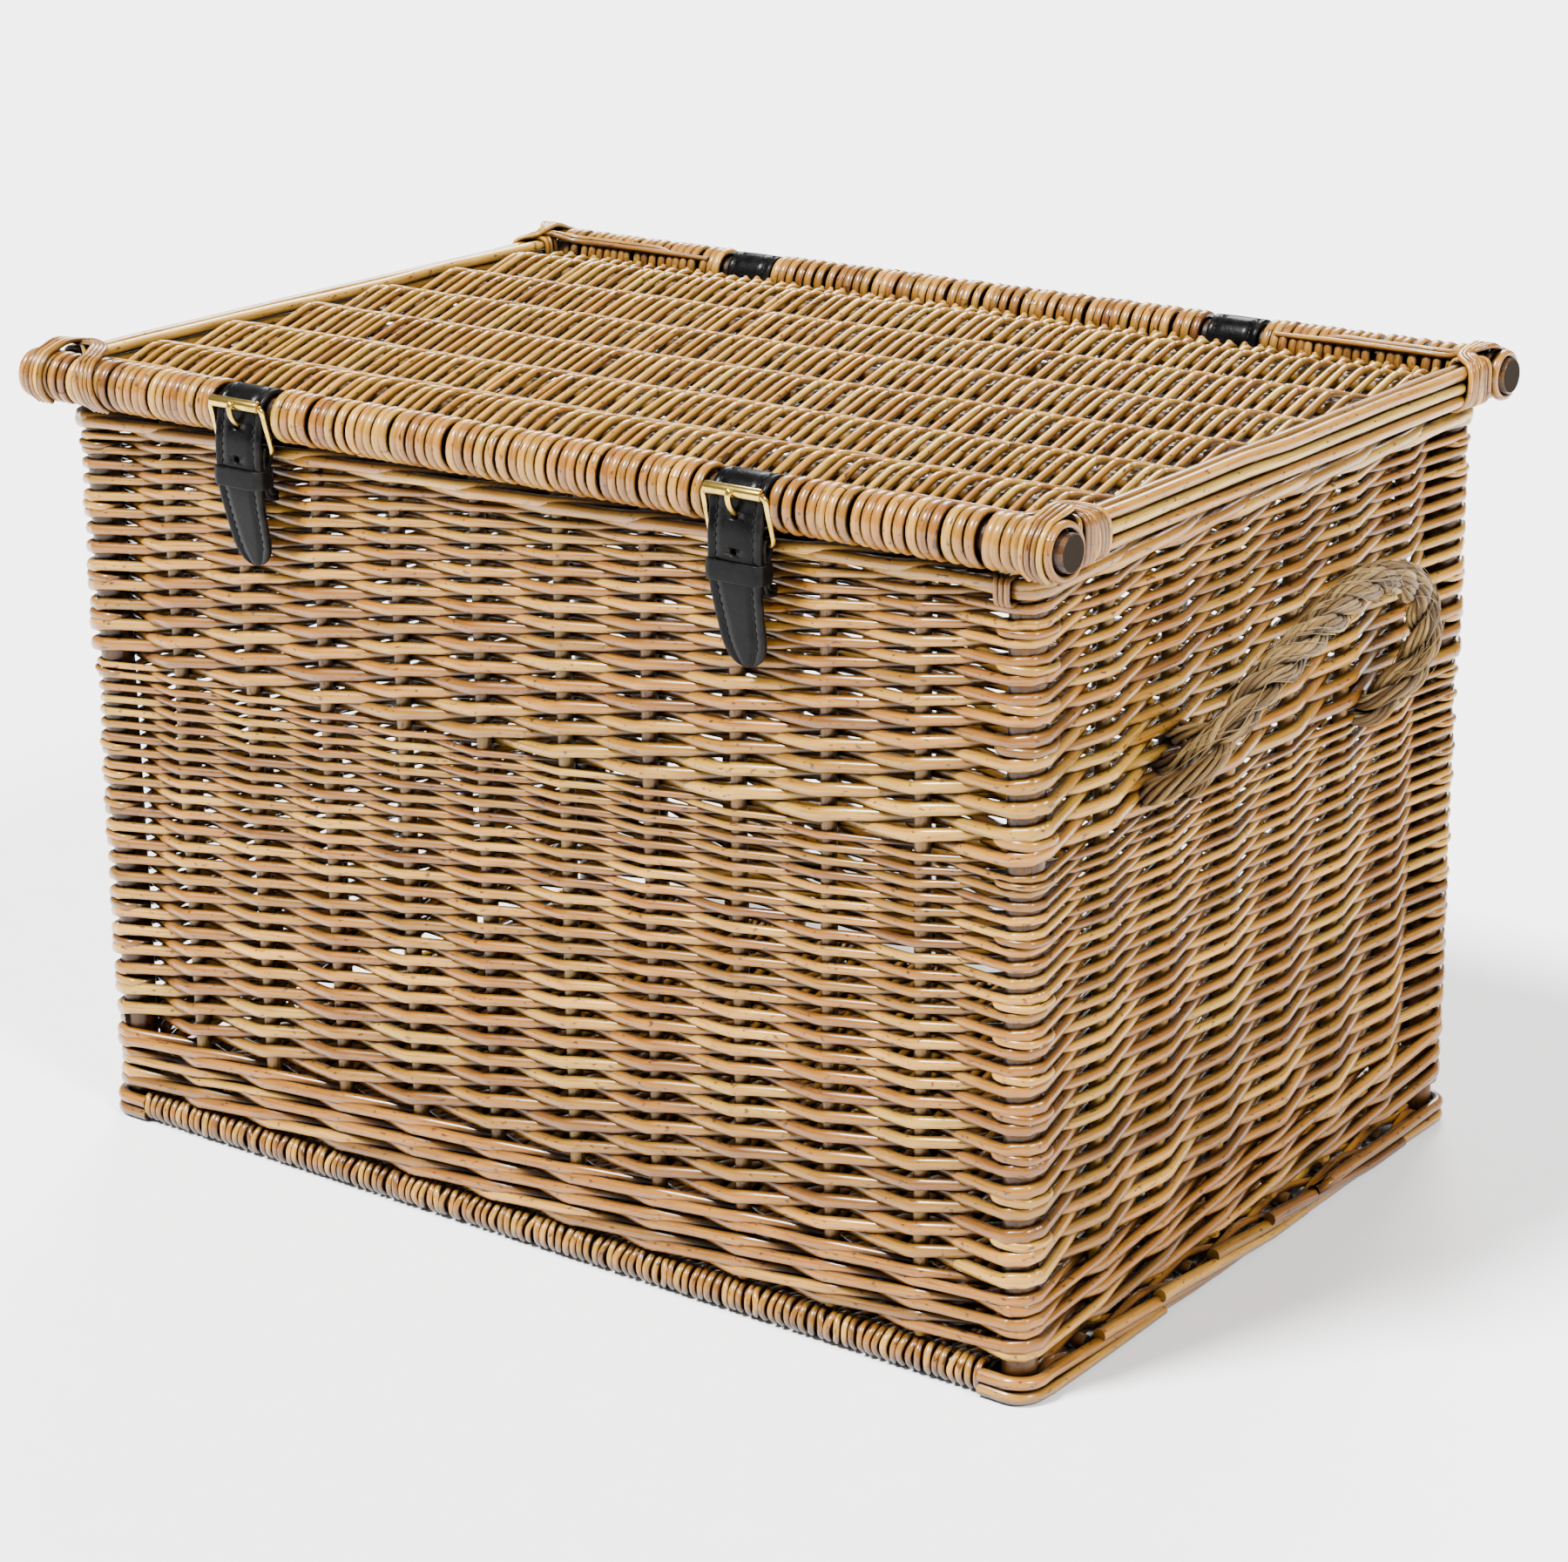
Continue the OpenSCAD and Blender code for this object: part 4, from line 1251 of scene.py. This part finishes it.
def buckle(side, x, body):
    """Brass frame with round corners, and the prong that is bent round its heel bar."""
    down = np.subtract(HEEL, ROLLER)
    size = np.linalg.norm(down)
    down = down / size
    loop = closed_even(round_corners(-14.6, 14.6, 0, size, 3.2, 8), 1.3)
    path = np.column_stack([
        x + loop[:, 0] * MM,
        LID_Y0 + (ROLLER[0] + loop[:, 1] * down[0]) * MM,
        LID_Z + (ROLLER[1] + loop[:, 1] * down[1]) * MM,
    ])
    normal = np.array([0, -down[1], down[0]])
    rods = Rods()
    rods.add(path, 1.2 * MM, normal, 0.5, 14, closed=True)
    rods.build("buckle_frame_" + side, BRASS, body, "brass", ("buckle_" + side,))
    shaft = [
        (-6.6, -12.9), (-7.0, -9.6), (-7.5, -6.9), (-9.1, -4.9), (-11.8, -2.9), (-14.1, -0.3), (-15.2, 3.0),
        (-14.8, 6.3),
    ]
    path = smooth_path(np.vstack([arc(*HEEL, 2.2, 250, 30, 12), shaft]), 4)
    points = lift_path(path, (x, LID_Y0, LID_Z))
    radii = np.interp(np.arange(len(points)), [0, 48, 60], [1.0, 1.0, 1.25]) * MM
    radii[-3:] *= (0.97, 0.85, 0.5)
    rods = Rods()
    rods.add(points, radii, (1, 0, 0), 0.5, 12, cut=0)
    rods.build("prong_" + side + "_brass", BRASS, "prong_body_" + side, "brass", ("prong_" + side,))
    low, high = box("roller_" + side)
    half = (high[0] - low[0]) / 2
    points = np.tile((low + high) / 2, (9, 1))
    points[:, 0] += half * np.array([-1, -1, -1, -1, 0, 1, 1, 1, 1])
    points[:, 0] += np.array([0, 0, 0.3, 0.6, 0, -0.6, -0.3, 0, 0]) * MM
    size = np.array([1.3, 2.1, 2.38, 2.45, 2.45, 2.45, 2.38, 2.1, 1.3]) * MM
    rods = Rods()
    rods.add(points, size, (0, 0, 1), 0.5, 28, cut=0)
    rods.build("roller_" + side + "_brass", BRASS, "roller_body_" + side, "brass", ("roller_" + side,))


for side, x in STRAPS.items():
    for make in (strap, chape, keeper, buckle):
        make(side, x, "strap_body_" + side)


def hinge(side, x):
    """A leather loop round the back lid stick whose ends pass down both sides of the border and join
    beneath it."""
    low, high = box("hinge_loop_" + side)
    r = LID_STICK_R / MM + 0.08 + 1.25
    bottom = (low[2] - LID_Z) / MM + 1.25
    curl = 2.5
    path = np.vstack([
        arc(0, 0, r, 0, 180, 26), [(-r, -8), (-r, -20), (-r, bottom + curl)],
        arc(-r + curl, bottom + curl, curl, 180, 270, 6), [(0, bottom)],
        arc(r - curl, bottom + curl, curl, 270, 360, 6), [(r, -20), (r, -8)],
    ])
    points = lift_path(closed_even(path, 1.1), (x, LID_Y1, LID_Z))
    piece = band(points, "hinge_leather_" + side, "trunk", STRAP_HALF * MM, 2.5, closed=True)
    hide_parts("hinge_loop_" + side)
    rods = Rods()
    for sign in (-1, 1):
        seam = (x + sign * (STRAP_HALF - SEAM_INSET) * MM, LID_Y1, LID_Z)
        stitches(rods, lift_path(arc(0, 0, r, 0, 180, 26), seam), 0.95 * MM)
        stitches(rods, lift_path([(r, bottom + 3), (r, -4)], seam), 0.95 * MM)
    rods.build("hinge_thread_" + side, THREAD, "trunk", "leather")


for side, x in HINGES.items():
    hinge(side, x)


# ---------------------------------------------------------------- rope handles
ROPE_PATH = np.array([
    (243, 78, 215), (250, 79, 217.5), (256, 81.5, 224), (262, 90.5, 234), (265, 94, 249), (267, 84, 268),
    (269, 58, 281), (272, 26, 285), (275, -10, 280), (276, -39, 272), (275, -63, 263), (270, -80, 249),
    (262, -88, 236), (250, -86, 223), (243, -85, 219),
])
STRAND_ENDS = [((238, -60, 249), 60), ((238, -75, 238), 48), ((238, -86, 222), 40)]
KNOT_R = 11 * MM
LOOSE_STRAND = [(270, -60, 255), (264, -64, 244), (257, -62, 233), (251, -58, 223), (240, -55, 214)]


def around(line, angle, away):
    """The points of a line moved away from it, each at its angle round the line's direction."""
    t = unit(np.gradient(line, axis=0))
    n = transported(t)
    return line + (np.cos(angle) * away)[:, None] * n + (np.sin(angle) * away)[:, None] * np.cross(t, n)


def strand(rods, centre, radius, lay, fan=0.0, turn=0.0):
    """A loose twist of seven yarns round one in the middle; fan says how far they stand apart."""
    along = distances(centre)
    for y in range(8):
        angle = -2 * math.pi * along / (lay * MM) + 2 * math.pi * y / 7 + turn
        out = radius * (1 if y < 7 else 0) * (1 + wobble(len(along), 0.14, 12)) * (1 + fan)
        size = radius * 0.55 * (1 + wobble(len(along), 0.14, 8))
        rods.add(around(centre, angle, out), size, "carry", random_tone(0.5, 0.32), 6)


def three_strands(rods, path, radius, lay, ends=(None, None, None)):
    """Laid rope. ends gives where a strand leaves the rope's last stretch for a place of its own, and how
    long before the end it does so."""
    s = distances(path)
    loose = wobble(len(s), 0.12, 10)
    for k, end in enumerate(ends):
        off = radius * 0.54 * (1 + wobble(len(s), 0.06, 9))
        centre = around(path, 2 * math.pi * (s / (lay * MM) + k / 3) + loose, off)
        fan = 0.0
        if end:
            target, reach = end
            share = np.clip((s - s[-1] + reach) / (0.9 * reach), 0, 1)
            centre = centre + (np.array(target) - centre) * (share * share * (3 - 2 * share))[:, None]
            inside = int(np.argmax(share >= 1)) + 1
            centre, fan = centre[:inside], 2.0 * (share * (1 - share))[:inside]
        strand(rods, centre, radius * 0.30, lay * 1.1, fan, k)


def rope_handle(sign, side):
    """The rope outside the wall, one strand that has come loose, fuzz, and the knots inside the wall."""
    path = even(smooth_path(ROPE_PATH * MM, 10), 2.6 * MM)
    path[:, 0] *= sign
    rods = Rods()
    ends = [(np.array(place) * MM * (sign, 1, 1), reach * MM) for place, reach in STRAND_ENDS]
    three_strands(rods, path, 7.6 * MM, 54, ends)
    strand(rods, smooth_path(np.array(LOOSE_STRAND) * MM * (sign, 1, 1), 6), 1.7 * MM, 60)
    t = unit(np.gradient(path, axis=0))
    n = transported(t)
    b = np.cross(t, n)
    for _ in range(170):
        i = int(rng.integers(6, len(path) - 14))
        a = rng.uniform(0, 2 * math.pi)
        k = np.arange(5) * 2
        turn = a + k * rng.uniform(-0.1, 0.35)
        lift = 7.0 * MM + np.linspace(0, rng.uniform(0.3, 2.2), 5) ** 1.5 * MM
        at = i + k
        line = path[at] + (np.cos(turn) * lift)[:, None] * n[at] + (np.sin(turn) * lift)[:, None] * b[at]
        rods.add(line, np.array([0.2, 0.2, 0.17, 0.13, 0.07]) * MM, "carry", 0.9, 4)
    piece = rods.build("rope_" + side, ROPE, None, None)
    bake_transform(piece)
    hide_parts("rope_handle_" + side)
    low, high = box("rope_ends_" + side)
    knot_x = sign * (min(abs(low[0]), abs(high[0])) + KNOT_R)
    a = np.linspace(0, 2 * math.pi, 61)
    knot = [np.cos(3 * a) * 2.6, (np.sin(a) + 2 * np.sin(2 * a)) * 2.15]
    knot += [(np.cos(a) - 2 * np.cos(2 * a)) * 2.15]
    rods = Rods()
    for sy in (-1, 1):
        centre = np.array([knot_x, sy * (high[1] - KNOT_R), (low[2] + high[2]) / 2])
        three_strands(rods, centre + np.column_stack(knot) * MM, 4.2 * MM, 26)
        stub = smooth_path(centre + np.outer([0, 9, 22], [sign * MM, 0, 0]), 5)
        three_strands(rods, stub, 5.2 * MM, 40)
    rods.build("rope_knots_" + side, ROPE, "trunk", "rope", ("rope_ends_" + side,))


rope_handle(1, "right")
rope_handle(-1, "left")


# ---------------------------------------------------------------- floor
def floor():
    corners = np.array([(-1, -1, 0), (1, -1, 0), (1, 1, 0), (-1, 1, 0)]) * 30.0
    thing = mesh_object("floor", corners, [np.array([[0, 1, 2, 3]])], floor_material(), None)
    thing.location.z = -0.0002


floor()
